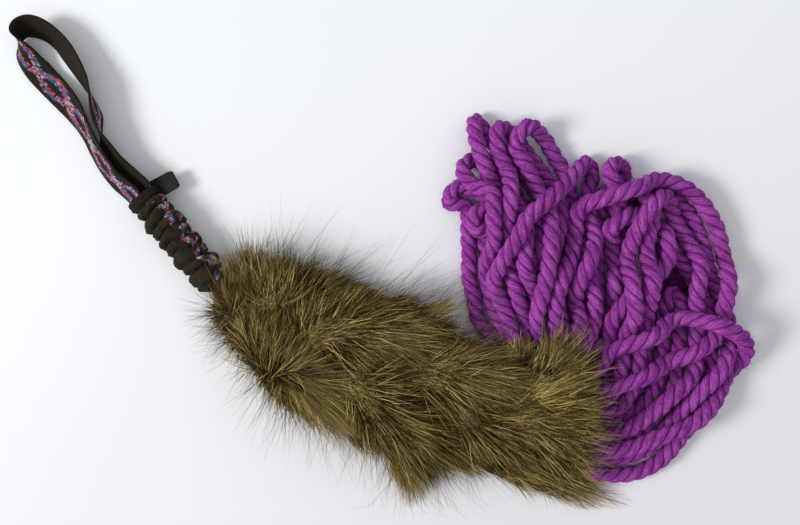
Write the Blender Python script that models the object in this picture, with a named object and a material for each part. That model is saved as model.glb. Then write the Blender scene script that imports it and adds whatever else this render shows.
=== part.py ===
"""A fur braid tug toy: webbing grip, ruched bungee, plaited fur body and a mop of twisted yarn loops.

Metres, +Z up. The toy lies on the floor at z = 0. The origin is on the flat underside of the plait's
middle, +X runs from the grip towards the yarn and +Y is to the left of that.
"""
import math

import bmesh
import bpy
import numpy as np
from mathutils import Vector

MM = 0.001
CLEARANCE = 0.3 * MM              # gap left where two pieces touch

# Webbing strap of the hand loop
STRAP_WIDTH = 25.0 * MM
STRAP_THICKNESS = 1.9 * MM
STRAP_STATIONS = 64
LAYER_SPREAD = 12.0 * MM          # distance between the strap's two ends at the stitched block
LAYER_LEAN = 42.0                 # degrees from upright, both layers leaning the same way

# Stitched block that closes the hand loop
BARTACK_LENGTH = 9.6 * MM
BARTACK_MARGIN = 2.0 * MM         # block past the strap's edges
BARTACK_FULL = 0.72               # share of the block's length at full size, between its eased ends
BARTACK_EASE = 0.8 * MM
BARTACK_CORNER = 3.0 * MM

# Bungee: a ruched webbing sleeve over an elastic core
BUNGEE_PIVOT = (-178.0 * MM, 58.0 * MM, 14.0 * MM)
BUNGEE_HEADING = 130.4            # degrees in plan, from the fur towards the grip
BUNGEE_LENGTH = 112.0 * MM
SLEEVE_HALF_WIDTH = 14.2 * MM
SLEEVE_HALF_HEIGHT = 11.6 * MM
GATHERS = 9
GATHER_DEPTH = 1.9 * MM
GATHER_SWAY = 1.3 * MM            # how far each gather slips sideways
NECK_RADIUS = 8.0 * MM
NECK_LENGTH = 11.0 * MM
CORE_THICKNESS = 9.0 * MM

# Folded ribbon tag at the block
TAG_WIDTH = 17.0 * MM
TAG_LENGTH = 17.0 * MM
TAG_PLY = 0.6 * MM
TAG_HEADING = 28.0                # degrees in plan
TAG_RISE = 11.0 * MM              # height of the tag above the floor

# Three-strand plait of fur strips
PLAIT_ROUTE_MM = [
    (-147, 31), (-122, 24), (-95, 15), (-66, 5), (-37, -9), (-8, -22), (19, -32), (43, -37),
]
PLAIT_REST_MM = (-8, -22)         # point of the route beside which the first strand lies on the floor
REST_PHASE = 135.0                # degrees of the first strand's weave at that point, its lowest
PLAIT_LEAD = 8.0 * MM             # straight run at each end of the plait
PLAIT_STEPS = 121
PLAIT_PITCH = 300.0 * MM
PLAIT_SWAY = 33.0 * MM            # strand centre to plait centre, sideways
PLAIT_LIFT = 18.0 * MM            # strand centre to plait centre, up and down
STRAND_HALF_WIDTH = 15.0 * MM
STRAND_HALF_HEIGHT = 12.2 * MM
STRAND_STATIONS = 38
STRAND_SIDES = 14
PILE_MM = [                       # share of the plait's length, and the long hair's reach up and down in plan
    (0.0, 2, 2), (0.12, 15, 3), (0.3, 15, 13), (0.5, 18, 14), (0.62, 12, 16), (0.8, 3, 15), (1.0, 0, 3),
]
PILE_DROP = 0.5                   # how far the long hair hangs for its reach
PILE_EDGE = 1.5                   # the higher, the nearer the reach keeps to the strand's outermost line
PILE_TURN = 3                     # the higher, the sooner a strand that turns inwards loses its reach
TUFTS_MM = {                      # free locks of long hair: x, y, half width and half height of each station
    "fur_tuft_lower": [(-21, -66, 10, 6.6), (-19, -82, 11, 7.2), (-14, -100, 8, 5.5), (-9, -117, 3, 2.2)],
    "fur_tuft_end": [(40, -79.7, 7, 4.4), (58, -93, 9, 5.2), (75, -103, 7, 4.2), (88, -112, 3, 2.2)],
}
TUFT_SIDES = 14
TUFT_STATIONS = 12
UPRIGHT_STATIONS = 4              # stations at each end that turn upright against the bindings
PLAIT_HEAD_SCALE = 0.46           # gathered size at the bungee end
PLAIT_TAIL_SCALE = 0.70           # gathered size at the yarn end
PLAIT_GATHER = 46.0 * MM          # length over which the plait gathers
REST_CUT = 0.5 * MM               # depth of the flat where the plait lies on the floor
HEAD_BINDING_LENGTH = 9.0 * MM
TAIL_BINDING_LENGTH = 8.0 * MM
TAIL_HEADING = -3.0               # degrees in plan, from the plait towards the yarn
BINDING_MARGIN = 2.5 * MM

# Yarn mop
YARN_DIAMETER = 14.0 * MM         # pressed together by the loops on top
YARN_ROOT_DIAMETER = 9.0 * MM     # squeezed where it is sewn into the knot
YARN_ROOT_RUN = 10.0 * MM         # straight part at each end
YARN_SWELL = 50.0 * MM            # length over which a squeezed end opens out
YARN_POINTS = 24
YARN_GAP = 1.3 * MM               # least gap kept while the loops are laid
YARN_LAYER = 1.3                  # diameters between two loops before they sink
YARN_OWN_RUN = 2.6                # diameters along one loop within which its points don't push each other
SETTLE_STEPS = 1000               # steps in which the loops sink on to each other
SETTLE_LAST = 400                 # last steps, which only clear what still touches
SETTLE_LOOK = 12                  # steps between two searches for loops near each other
SETTLE_SINK = 0.03                # share of its height that a loop sinks in a step
PLAN_PULL = 0.03                  # pull towards the route as drawn from above
STRETCH = 0.35                    # how firmly a loop keeps its length
BEND = 0.02                       # how firmly it keeps straight
PUSH = 1.3                        # how firmly touching loops part
YARN_ROWS = 4
YARN_ROW_PITCH = 10.6 * MM
FLANK_MM = (77, -5)               # point of the line along the plait that no loop crosses
FLANK_FACING = 40.0               # degrees in plan, away from the plait
YARN_FAN = 58.0 * MM              # distance from the knot's centre to which the ends fan out straight
KNOT_CENTRE = (112.0 * MM, -42.0 * MM)
KNOT_RADIUS = 30.0 * MM
KNOT_MARGIN = 0.3 * MM            # knot above and below the squeezed yarn
KNOT_FOOT = 3.0 * MM
FLAP_RADIUS = 35.0 * MM
FLAP_LENGTHEN = 1.25              # across the plait, where the turned-over end spreads
FLAP_SHIFT = 5.0 * MM
FLAP_HEIGHT = 12.0 * MM

# Each loop: row in the knot, directions in which its two ends leave (degrees), route from above in mm
YARN_LOOPS_MM = [
    (0, 115, 95, [(74, 30), (62, 52), (54, 74), (50, 95), (58, 112), (64, 126), (58, 140), (44, 143), (29, 143),
                  (26, 155), (38, 162), (54, 158), (68, 148), (77, 132), (82, 112), (82, 92), (84, 70),
                  (92, 48)]),
    (0, 75, 55, [(118, 40), (108, 60), (100, 80), (92, 98), (80, 112), (66, 118), (50, 118), (41, 127),
                 (49, 136), (64, 136), (80, 133), (96, 124), (108, 108), (118, 90), (128, 68), (138, 44)]),
    (0, 35, 15, [(158, 18), (150, 42), (146, 68), (148, 94), (157, 118), (170, 140), (184, 156), (189, 170),
                 (178, 181), (166, 174), (166, 156), (176, 138), (182, 116), (182, 92), (180, 68), (182, 44),
                 (184, 20), (181, -2)]),
    (0, -65, -5, [(155, -98), (178, -97), (199, -94), (215, -84), (226, -68), (236, -50), (248, -30), (256, -8),
                  (258, 15), (254, 38), (248, 60), (244, 82), (234, 100), (219, 106), (207, 96), (205, 78),
                  (207, 55), (206, 32), (202, 10), (196, -12), (186, -32)]),
    (0, -45, -25, [(172, -82), (193, -76), (210, -62), (224, -42), (234, -18), (240, 8), (242, 34), (236, 56),
                   (222, 62), (212, 50), (208, 30), (206, 8), (200, -16), (190, -40)]),
    (1, 115, 95, [(76, 34), (66, 58), (62, 82), (67, 104), (73, 124), (70, 144), (60, 157), (46, 160), (34, 164),
                  (34, 178), (46, 183), (61, 178), (73, 166), (83, 150), (91, 132), (95, 112), (94, 90),
                  (96, 66), (102, 40)]),
    (1, 75, 37, [(116, 38), (104, 58), (97, 80), (94, 102), (88, 124), (78, 144), (68, 162), (59, 180), (50, 196),
                 (42, 210), (45, 223), (56, 222), (62, 210), (69, 194), (77, 178), (87, 162), (97, 144),
                 (106, 124), (116, 102), (126, 80), (138, 56), (150, 30), (156, 12)]),
    (1, 17, 56, [(170, 2), (160, 30), (156, 56), (155, 82), (158, 104), (164, 124), (175, 138), (192, 141),
                 (210, 131), (222, 116), (223, 96), (215, 76), (200, 61), (182, 50), (166, 38), (153, 24)]),
    (1, -60, -8, [(158, -84), (184, -80), (208, -72), (228, -56), (246, -36), (260, -12), (267, 14), (268, 40),
                  (264, 66), (260, 92), (253, 116), (243, 138), (227, 155), (207, 166), (192, 160), (188, 142),
                  (190, 120), (192, 98), (192, 74), (192, 50), (190, 26), (188, 0), (182, -26)]),
    (2, 113, 75, [(90, 34), (86, 58), (86, 84), (86, 112), (80, 138), (72, 162), (64, 184), (58, 202), (65, 215),
                  (78, 211), (84, 194), (90, 176), (98, 158), (106, 140), (112, 118), (114, 94), (116, 68),
                  (121, 40)]),
    (2, 94, 50, [(107, 38), (106, 64), (108, 90), (110, 118), (108, 142), (100, 162), (89, 178), (81, 194),
                 (82, 208), (94, 216), (108, 208), (121, 192), (131, 174), (138, 152), (141, 128), (143, 102),
                 (145, 76), (148, 50), (150, 26)]),
    (2, -40, 5, [(168, -74), (188, -67), (206, -54), (225, -35), (240, -14), (249, 8), (251, 32), (248, 58),
                 (250, 84), (250, 106), (242, 126), (228, 142), (210, 151), (193, 146), (181, 130), (175, 110),
                 (173, 88), (176, 62), (181, 36), (185, 8), (180, -18)]),
    (3, 112, 72, [(88, 34), (83, 56), (79, 80), (81, 102), (88, 122), (98, 138), (110, 152), (124, 164),
                  (139, 174), (154, 181), (165, 172), (166, 154), (163, 134), (157, 112), (150, 90), (144, 66),
                  (138, 40)]),
    (3, 92, 22, [(107, 40), (106, 64), (110, 86), (120, 105), (134, 124), (150, 141), (168, 153), (190, 160),
                 (215, 160), (238, 150), (254, 132), (263, 110), (268, 88), (273, 64), (274, 42), (264, 24),
                 (244, 12), (220, 2), (200, -6), (184, -14)]),
    (3, 47, -60, [(158, 6), (171, 15), (189, 25), (208, 36), (230, 44), (252, 43), (270, 36), (276, 16),
                  (275, -6), (264, -25), (244, -42), (226, -58), (204, -71), (180, -76), (160, -82)]),
]

# Hand loop's strap, from the block up one side, round the end and back: x, y in mm and lean in degrees
STRAP_ROUTE_MM = [
    (-281, 165, -40), (-291, 178, -40), (-299, 192, -38), (-306, 206, -38), (-313.5, 219, -46),
    (-322.5, 231.5, -62), (-334.5, 245, -76), (-347.5, 258.5, -82), (-359, 271.5, -72), (-366.5, 284, -46),
    (-369, 296, 6), (-365, 303, 34), (-356, 305, 42), (-344, 300.5, 40), (-334, 292.5, 40), (-325.5, 282, 42),
    (-316.5, 268.5, 38), (-307.5, 253, 27), (-301.5, 239, 8), (-297.5, 225, -4), (-295.5, 212, 6),
    (-292, 200, 28), (-285.5, 188.5, 40), (-277, 177.5, 43),
]
STRAP_FOOT = 1.0 * MM             # height of the strap's lower edge over the floor

COLOURS = {
    "webbing": ((0.020, 0.018, 0.014), 0.78),
    "thread": ((0.012, 0.011, 0.009), 0.70),
    "ribbon": ((0.010, 0.010, 0.010), 0.60),
    "elastic": ((0.55, 0.54, 0.50), 0.72),
    "fur": ((0.085, 0.058, 0.022), 0.85),
    "lining": ((0.060, 0.045, 0.025), 0.88),
    "yarn": ((0.155, 0.024, 0.180), 0.82),
}


def clear_scene():
    """Remove what a new file starts with."""
    for old in list(bpy.data.objects):
        bpy.data.objects.remove(old, do_unlink=True)


def material(name):
    """One Principled material for each finish, made when first asked for."""
    found = bpy.data.materials.get(name)
    if found:
        return found
    colour, roughness = COLOURS[name]
    made = bpy.data.materials.new(name)
    made.use_nodes = True
    shader = made.node_tree.nodes["Principled BSDF"]
    shader.inputs["Base Color"].default_value = (*colour, 1.0)
    shader.inputs["Roughness"].default_value = roughness
    shader.inputs["Metallic"].default_value = 0.0
    return made


def heading(degrees):
    """Unit vector in plan."""
    angle = math.radians(degrees)
    return Vector((math.cos(angle), math.sin(angle), 0.0))


def left_of(direction):
    """Unit vector to the left of a plan direction."""
    return Vector((-direction.y, direction.x, 0.0)).normalized()


def smooth_step(value):
    """Ease from 0 to 1."""
    value = min(max(value, 0.0), 1.0)
    return value * value * (3.0 - 2.0 * value)


def smooth_route(points, count):
    """Points evenly spaced along a Catmull-Rom curve through the route's own points."""
    rows = np.asarray(points, dtype=float)
    rows = np.vstack([2 * rows[0] - rows[1], rows, 2 * rows[-1] - rows[-2]])
    fine = []
    for index in range(1, len(rows) - 2):
        before, start, end, after = rows[index - 1:index + 3]
        for step in np.arange(16) / 16.0:
            fine.append(0.5 * (2 * start + (end - before) * step
                               + (2 * before - 5 * start + 4 * end - after) * step ** 2
                               + (3 * start - before - 3 * end + after) * step ** 3))
    fine.append(rows[-2])
    fine = np.array(fine)
    lengths = np.linalg.norm(np.diff(fine[:, :2], axis=0), axis=1)
    along = np.concatenate([[0.0], np.cumsum(lengths)])
    stations = np.linspace(0.0, along[-1], count)
    return np.column_stack([np.interp(stations, along, column) for column in fine.T])


def finish(name, bm, finish_name, origin, sharp=40.0):
    """Turn a bmesh in world coordinates into an object whose origin lies at a given point."""
    bmesh.ops.recalc_face_normals(bm, faces=bm.faces)
    bmesh.ops.translate(bm, verts=bm.verts, vec=-Vector(origin))
    mesh = bpy.data.meshes.new(name)
    bm.to_mesh(mesh)
    bm.free()
    mesh.shade_smooth()
    mesh.set_sharp_from_angle(angle=math.radians(sharp))
    mesh.materials.append(material(finish_name))
    made = bpy.data.objects.new(name, mesh)
    made.location = origin
    bpy.context.scene.collection.objects.link(made)
    return made


def sweep(rings, closed=False):
    """Extrude a ring of points from station to station; ends are capped, or joined when closed."""
    bm = bmesh.new()
    slot = bm.verts.layers.int.new("slot")
    corners = []
    for index, point in enumerate(rings[0]):
        corner = bm.verts.new(point)
        corner[slot] = index
        corners.append(corner)
    edges = [bm.edges.new((corners[i - 1], corners[i])) for i in range(len(corners))]
    first = list(edges)
    for ring in rings[1:]:
        grown = bmesh.ops.extrude_edge_only(bm, edges=edges)["geom"]
        edges = [item for item in grown if isinstance(item, bmesh.types.BMEdge)]
        for item in grown:
            if isinstance(item, bmesh.types.BMVert):
                item.co = ring[item[slot]]
    if closed:
        bmesh.ops.bridge_loops(bm, edges=first + edges)
    else:
        bmesh.ops.contextual_create(bm, geom=first)
        bmesh.ops.contextual_create(bm, geom=edges)
    return bm


def oval_block(name, centre, along, length, half_width, half_height, finish_name, origin):
    """A short bound collar: an oval disc with rounded rims."""
    side = left_of(along)
    rings = []
    for share, scale in ((-0.5, 0.94), (-0.34, 1.0), (0.34, 1.0), (0.5, 0.94)):
        middle = Vector(centre) + along * (length * share)
        ring = []
        for index in range(28):
            angle = 2 * math.pi * index / 28
            ring.append(middle + side * (half_width * scale * math.cos(angle))
                        + Vector((0, 0, half_height * scale * math.sin(angle))))
        rings.append(ring)
    return finish(name, sweep(rings), finish_name, origin)


def bungee_frame():
    """The bungee's pivot, its direction towards the grip and the direction to its side."""
    along = heading(BUNGEE_HEADING)
    return Vector(BUNGEE_PIVOT), along, -left_of(along)


def strap_rings():
    """Cross-sections of the hand loop's strap, from one end at the block to the other."""
    pivot, along, side = bungee_frame()
    face = pivot + along * (BUNGEE_LENGTH + CLEARANCE + BARTACK_LENGTH + CLEARANCE)
    start = face - side * (LAYER_SPREAD / 2)
    end = face + side * (LAYER_SPREAD / 2)
    start_run = start + along * (4 * STRAP_THICKNESS)
    end_run = end + along * (4 * STRAP_THICKNESS)
    route = [(start.x, start.y, -LAYER_LEAN), (start_run.x, start_run.y, -LAYER_LEAN)]
    route += [(x * MM, y * MM, lean) for x, y, lean in STRAP_ROUTE_MM]
    route += [(end_run.x, end_run.y, LAYER_LEAN), (end.x, end.y, LAYER_LEAN)]
    stations = smooth_route(route, STRAP_STATIONS)
    tangents = np.gradient(stations[:, :2], axis=0)
    tangents[0] = (along.x, along.y)
    tangents[-1] = (-along.x, -along.y)
    rings = []
    for (x, y, lean), tangent in zip(stations, tangents):
        outward = left_of(Vector((tangent[0], tangent[1], 0.0)))
        tilt = math.radians(lean)
        width = outward * math.sin(tilt) + Vector((0, 0, math.cos(tilt)))
        normal = outward * math.cos(tilt) - Vector((0, 0, math.sin(tilt)))
        rise = (STRAP_WIDTH * math.cos(tilt) + STRAP_THICKNESS * abs(math.sin(tilt))) / 2 + STRAP_FOOT
        middle = Vector((x, y, rise))
        across = width * (STRAP_WIDTH / 2)
        through = normal * (STRAP_THICKNESS / 2)
        rings.append([middle - across - through, middle - across + through,
                      middle + across + through, middle + across - through])
    return rings


def block_size():
    """Half width and height of the stitched block, from the strap's two ends that it covers."""
    tilt = math.radians(LAYER_LEAN)
    half_width = (LAYER_SPREAD + STRAP_WIDTH * math.sin(tilt)) / 2 + BARTACK_MARGIN
    top = STRAP_FOOT + STRAP_WIDTH * math.cos(tilt) + STRAP_THICKNESS * math.sin(tilt) + BARTACK_MARGIN / 2
    return half_width, top


def make_grip():
    """Hand loop, the stitched block that closes it and the folded tag sewn beside it."""
    pivot, along, side = bungee_frame()
    half_width, top = block_size()
    face = pivot + along * (BUNGEE_LENGTH + CLEARANCE + BARTACK_LENGTH + CLEARANCE)
    hinge = Vector((face.x, face.y, top))
    finish("handle_webbing", sweep(strap_rings()), "webbing", hinge)

    block_centre = pivot + along * (BUNGEE_LENGTH + CLEARANCE + BARTACK_LENGTH / 2)
    block_centre.z = top / 2 + STRAP_FOOT / 4
    rings = []
    full = BARTACK_FULL / 2
    for share, inset in ((-0.5, BARTACK_EASE), (-full, 0.0), (full, 0.0), (0.5, BARTACK_EASE)):
        middle = block_centre + along * (BARTACK_LENGTH * share)
        reach_side = half_width - inset
        reach_up = top / 2 - STRAP_FOOT / 4 - inset
        ring = []
        for turn in range(4):
            quarter = math.pi / 2 * turn
            sign_side = 1 if turn in (0, 3) else -1
            sign_up = 1 if turn in (0, 1) else -1
            for step in range(4):
                angle = quarter + math.pi / 6 * step
                across = sign_side * (reach_side - BARTACK_CORNER) + BARTACK_CORNER * math.cos(angle)
                rise = sign_up * (reach_up - BARTACK_CORNER) + BARTACK_CORNER * math.sin(angle)
                ring.append(middle + side * across + Vector((0, 0, rise)))
        rings.append(ring)
    finish("handle_bartack", sweep(rings), "thread", block_centre)
    make_tag(block_centre, side, half_width)


def make_tag(block_centre, side, half_width):
    """A ribbon folded double, its two cut ends against the block's side."""
    out = heading(TAG_HEADING)
    across = left_of(out)
    skew = abs(across.dot(side)) * BARTACK_LENGTH * BARTACK_FULL / 2
    root = block_centre + side * (half_width + CLEARANCE + skew)
    root.z = TAG_RISE
    fold_radius = 1.6 * TAG_PLY
    half_gap = fold_radius - TAG_PLY / 2
    reach = TAG_LENGTH - fold_radius
    outline = [(0.0, -half_gap - TAG_PLY), (reach, -half_gap - TAG_PLY)]
    outer = half_gap + TAG_PLY
    for step in range(1, 6):
        angle = -math.pi / 2 + math.pi * step / 6
        outline.append((reach + outer * math.cos(angle), outer * math.sin(angle)))
    outline += [(reach, outer), (0.0, outer), (0.0, half_gap), (reach, half_gap)]
    for step in range(1, 4):
        angle = math.pi / 2 - math.pi * step / 4
        outline.append((reach + half_gap * math.cos(angle), half_gap * math.sin(angle)))
    outline += [(reach, -half_gap), (0.0, -half_gap)]
    rings = []
    for share in (-0.5, 0.5):
        middle = root + across * (TAG_WIDTH * share)
        rings.append([middle + out * run + Vector((0, 0, rise)) for run, rise in outline])
    hinge = root + Vector((0, 0, outer))
    finish("label_tag", sweep(rings), "ribbon", hinge)


def sleeve_size(share):
    """Half width, half height and sideways slip of the gathered sleeve at a share of its length."""
    swell = smooth_step(share / 0.12) * (1.0 - 0.35 * smooth_step((share - 0.9) / 0.1))
    wave = 0.5 - 0.5 * math.cos(2 * math.pi * GATHERS * share)
    slip = GATHER_SWAY * math.sin(math.pi * GATHERS * share + 0.6) * swell
    neck = NECK_RADIUS
    half_width = neck + (SLEEVE_HALF_WIDTH - neck) * swell + GATHER_DEPTH * (wave - 0.5) * 2 * swell
    half_height = neck + (SLEEVE_HALF_HEIGHT - neck) * swell + GATHER_DEPTH * (wave - 0.5) * 2 * swell
    return half_width, half_height, slip


def make_bungee():
    """Neck with a rounded end on the swivel point, gathered sleeve and the elastic inside it."""
    pivot, along, side = bungee_frame()
    sides = 20
    rings = []
    for step in range(1, 6):
        angle = math.pi / 2 * step / 5
        rings.append((-NECK_RADIUS * math.cos(angle), NECK_RADIUS * math.sin(angle)))
    rings += [(NECK_LENGTH * 0.5, NECK_RADIUS), (NECK_LENGTH, NECK_RADIUS)]
    built = []
    for run, radius in rings:
        middle = pivot + along * run
        built.append([middle + side * (radius * math.cos(2 * math.pi * i / sides))
                      + Vector((0, 0, radius * math.sin(2 * math.pi * i / sides))) for i in range(sides)])
    finish("bungee_neck", sweep(built), "thread", pivot)

    start = NECK_LENGTH + CLEARANCE
    length = BUNGEE_LENGTH - start
    steps = GATHERS * 6
    outer = []
    for step in range(steps + 1):
        share = step / steps
        half_width, half_height, slip = sleeve_size(share)
        middle = pivot + along * (start + length * share) + side * slip
        outer.append([middle + side * (half_width * math.cos(2 * math.pi * i / sides))
                      + Vector((0, 0, half_height * math.sin(2 * math.pi * i / sides)))
                      for i in range(sides)])
    half_core = CORE_THICKNESS / 2
    bore = half_core + CLEARANCE
    inner = []
    for share in (1.0, 0.0):
        middle = pivot + along * (start + length * share)
        inner.append([middle + side * (bore * math.cos(2 * math.pi * i / sides))
                      + Vector((0, 0, bore * math.sin(2 * math.pi * i / sides))) for i in range(sides)])
    finish("bungee_sleeve", sweep(outer + inner, closed=True), "webbing", pivot)

    ends = []
    for run in (start, BUNGEE_LENGTH):
        middle = pivot + along * run
        ends.append([middle + side * (half_core * math.cos(2 * math.pi * i / sides))
                     + Vector((0, 0, half_core * math.sin(2 * math.pi * i / sides))) for i in range(sides)])
    finish("bungee_core", sweep(ends), "elastic", pivot)


def plait_scale(along, length):
    """Gathered size of the plait at a distance from its head."""
    head = PLAIT_HEAD_SCALE + (1 - PLAIT_HEAD_SCALE) * smooth_step(along / PLAIT_GATHER)
    tail = PLAIT_TAIL_SCALE + (1 - PLAIT_TAIL_SCALE) * smooth_step((length - along) / PLAIT_GATHER)
    return min(head, tail)


def plait_ends():
    """Middle of the plait's two end faces against the bindings, and the plan direction at each."""
    pivot, along, _ = bungee_frame()
    head_out = -along
    head = pivot + head_out * (NECK_RADIUS + CLEARANCE + HEAD_BINDING_LENGTH + CLEARANCE)
    tail_out = heading(TAIL_HEADING)
    tail = Vector((*KNOT_CENTRE, 0)) - tail_out * (KNOT_RADIUS + CLEARANCE + TAIL_BINDING_LENGTH + CLEARANCE)
    return head, head_out, tail, tail_out


def strand_path(number):
    """Centre points, sizes and outward reach of one strand: sideways once, up and down twice in each pitch."""
    head, head_out, tail, tail_out = plait_ends()
    head_lead = head + head_out * PLAIT_LEAD
    tail_lead = tail - tail_out * PLAIT_LEAD
    route = [head[:2], head_lead[:2]] + [(x * MM, y * MM) for x, y in PLAIT_ROUTE_MM] + [tail_lead[:2], tail[:2]]
    centre = smooth_route(route, PLAIT_STEPS)
    steps = np.linalg.norm(np.diff(centre, axis=0), axis=1)
    along = np.concatenate([[0.0], np.cumsum(steps)])
    rest = along[np.argmin(np.linalg.norm(centre - np.array(PLAIT_REST_MM) * MM, axis=1))]
    tangents = np.gradient(centre, axis=0)
    tangents[0] = head_out[:2]
    tangents[-1] = tail_out[:2]
    table = np.array(PILE_MM, dtype=float)
    points = []
    scales = []
    reaches = []
    for (x, y), tangent, run in zip(centre, tangents, along):
        scale = plait_scale(run, along[-1])
        phase = math.radians(REST_PHASE + 120.0 * number) + 2 * math.pi * (run - rest) / PLAIT_PITCH
        side = left_of(Vector((tangent[0], tangent[1], 0.0)))
        rise = scale * (PLAIT_LIFT + STRAND_HALF_HEIGHT) - REST_CUT
        points.append(Vector((x, y, rise)) + side * (scale * PLAIT_SWAY * math.sin(phase))
                      + Vector((0, 0, scale * PLAIT_LIFT * math.sin(2 * phase))))
        scales.append(scale)
        outward = math.sin(phase)
        reach = np.interp(run / along[-1], table[:, 0], table[:, 1 if outward > 0 else 2]) * MM
        reaches.append(math.copysign(reach * scale * abs(outward) ** PILE_TURN, outward))
    return points, scales, reaches


def make_strand(name, number):
    """One fur strip rolled round, its long hair drooping outwards, swept and cut flat on the floor."""
    points, scales, reaches = strand_path(number)
    _, head_out, _, tail_out = plait_ends()
    last = len(points) - 1
    rings = []
    for station in range(STRAND_STATIONS):
        index = round(station * last / (STRAND_STATIONS - 1))
        tangent = (points[min(index + 1, last)] - points[max(index - 1, 0)]).normalized()
        if station < UPRIGHT_STATIONS:
            tangent = head_out.lerp(tangent, smooth_step(station / UPRIGHT_STATIONS)).normalized()
        if STRAND_STATIONS - 1 - station < UPRIGHT_STATIONS:
            share = (STRAND_STATIONS - 1 - station) / UPRIGHT_STATIONS
            tangent = tail_out.lerp(tangent, smooth_step(share)).normalized()
        side = left_of(tangent)
        up = tangent.cross(side)
        ring = []
        for corner in range(STRAND_SIDES):
            angle = 2 * math.pi * (corner + 0.5) / STRAND_SIDES
            outer = max(math.copysign(math.cos(angle), math.cos(angle) * reaches[index]), 0.0) ** PILE_EDGE
            ring.append(points[index] + side * (STRAND_HALF_WIDTH * scales[index] * math.cos(angle))
                        + up * (STRAND_HALF_HEIGHT * scales[index] * math.sin(angle))
                        + side * (reaches[index] * outer)
                        - Vector((0, 0, abs(reaches[index]) * outer * PILE_DROP)))
        rings.append(ring)
    bm = sweep(rings)
    geometry = bm.verts[:] + bm.edges[:] + bm.faces[:]
    bmesh.ops.bisect_plane(bm, geom=geometry, plane_co=(0, 0, 0), plane_no=(0, 0, -1), clear_outer=True)
    open_edges = [edge for edge in bm.edges if edge.is_boundary]
    bmesh.ops.holes_fill(bm, edges=open_edges, sides=0)
    finish(name, bm, "fur", (0, 0, 0))


def make_tuft(name, stations_mm):
    """A tapering lock of long hair lying on the floor beside the plait."""
    line = smooth_route([(x * MM, y * MM, half * MM, rise * MM) for x, y, half, rise in stations_mm], TUFT_STATIONS)
    tangents = np.gradient(line[:, :2], axis=0)
    rings = []
    for (x, y, half, rise), tangent in zip(line, tangents):
        side = left_of(Vector((tangent[0], tangent[1], 0.0)))
        middle = Vector((x, y, rise + CLEARANCE))
        ring = []
        for corner in range(TUFT_SIDES):
            angle = 2 * math.pi * corner / TUFT_SIDES
            ring.append(middle + side * (half * math.cos(angle)) + Vector((0, 0, rise * math.sin(angle))))
        rings.append(ring)
    finish(name, sweep(rings), "fur", (line[0, 0], line[0, 1], 0))


def make_plait():
    """Three strands, their free locks and the collar that binds each end of them."""
    for number, letter in enumerate("abc"):
        make_strand("fur_strand_" + letter, number)
    for name, stations_mm in TUFTS_MM.items():
        make_tuft(name, stations_mm)

    pivot, along, _ = bungee_frame()
    reach_side = PLAIT_SWAY + STRAND_HALF_WIDTH
    reach_up = PLAIT_LIFT + STRAND_HALF_HEIGHT
    head = pivot - along * (NECK_RADIUS + CLEARANCE + HEAD_BINDING_LENGTH / 2)
    head.z = PLAIT_HEAD_SCALE * reach_up
    oval_block("fur_head_binding", head, along, HEAD_BINDING_LENGTH,
               PLAIT_HEAD_SCALE * reach_side, PLAIT_HEAD_SCALE * reach_up - CLEARANCE, "lining", head)

    out = heading(TAIL_HEADING)
    tail = Vector((*KNOT_CENTRE, (KNOT_FOOT + knot_top()) / 2))
    tail -= out * (KNOT_RADIUS + CLEARANCE + TAIL_BINDING_LENGTH / 2)
    oval_block("fur_tail_binding", tail, out, TAIL_BINDING_LENGTH,
               PLAIT_TAIL_SCALE * reach_side + BINDING_MARGIN, (knot_top() - KNOT_FOOT) / 2, "lining", tail)
    make_flap()


def make_flap():
    """The fur's turned-over end: a low oval dome that covers the yarn knot."""
    centre = Vector((*KNOT_CENTRE, knot_top() + CLEARANCE)) + Vector((0, FLAP_SHIFT, 0))
    bm = bmesh.new()
    steps = 6
    profile = [bm.verts.new((0, 0, 0)), bm.verts.new((FLAP_RADIUS * 0.93, 0, 0))]
    for step in range(1, steps):
        angle = math.pi / 2 * step / steps
        profile.append(bm.verts.new((FLAP_RADIUS * math.cos(angle * 0.96), 0, FLAP_HEIGHT * math.sin(angle))))
    profile.append(bm.verts.new((0, 0, FLAP_HEIGHT)))
    edges = [bm.edges.new(pair) for pair in zip(profile, profile[1:])]
    bmesh.ops.spin(bm, geom=profile + edges, cent=(0, 0, 0), axis=(0, 0, 1), angle=2 * math.pi, steps=28,
                   use_duplicate=False)
    bmesh.ops.remove_doubles(bm, verts=bm.verts, dist=0.00001)
    bmesh.ops.scale(bm, verts=bm.verts, vec=(1.0, FLAP_LENGTHEN, 1.0))
    bmesh.ops.translate(bm, verts=bm.verts, vec=centre)
    finish("fur_end_flap", bm, "fur", centre)


def knot_top():
    """Height of the yarn knot's upper face."""
    return KNOT_FOOT + 2 * KNOT_MARGIN + YARN_ROWS * YARN_ROW_PITCH


def root_point(row, direction):
    """Where a yarn end leaves the knot, and the direction in which it leaves."""
    out = heading(direction)
    point = Vector((*KNOT_CENTRE, KNOT_FOOT + KNOT_MARGIN + YARN_ROW_PITCH * (row + 0.5)))
    return point + out * (KNOT_RADIUS + CLEARANCE), out


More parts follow.
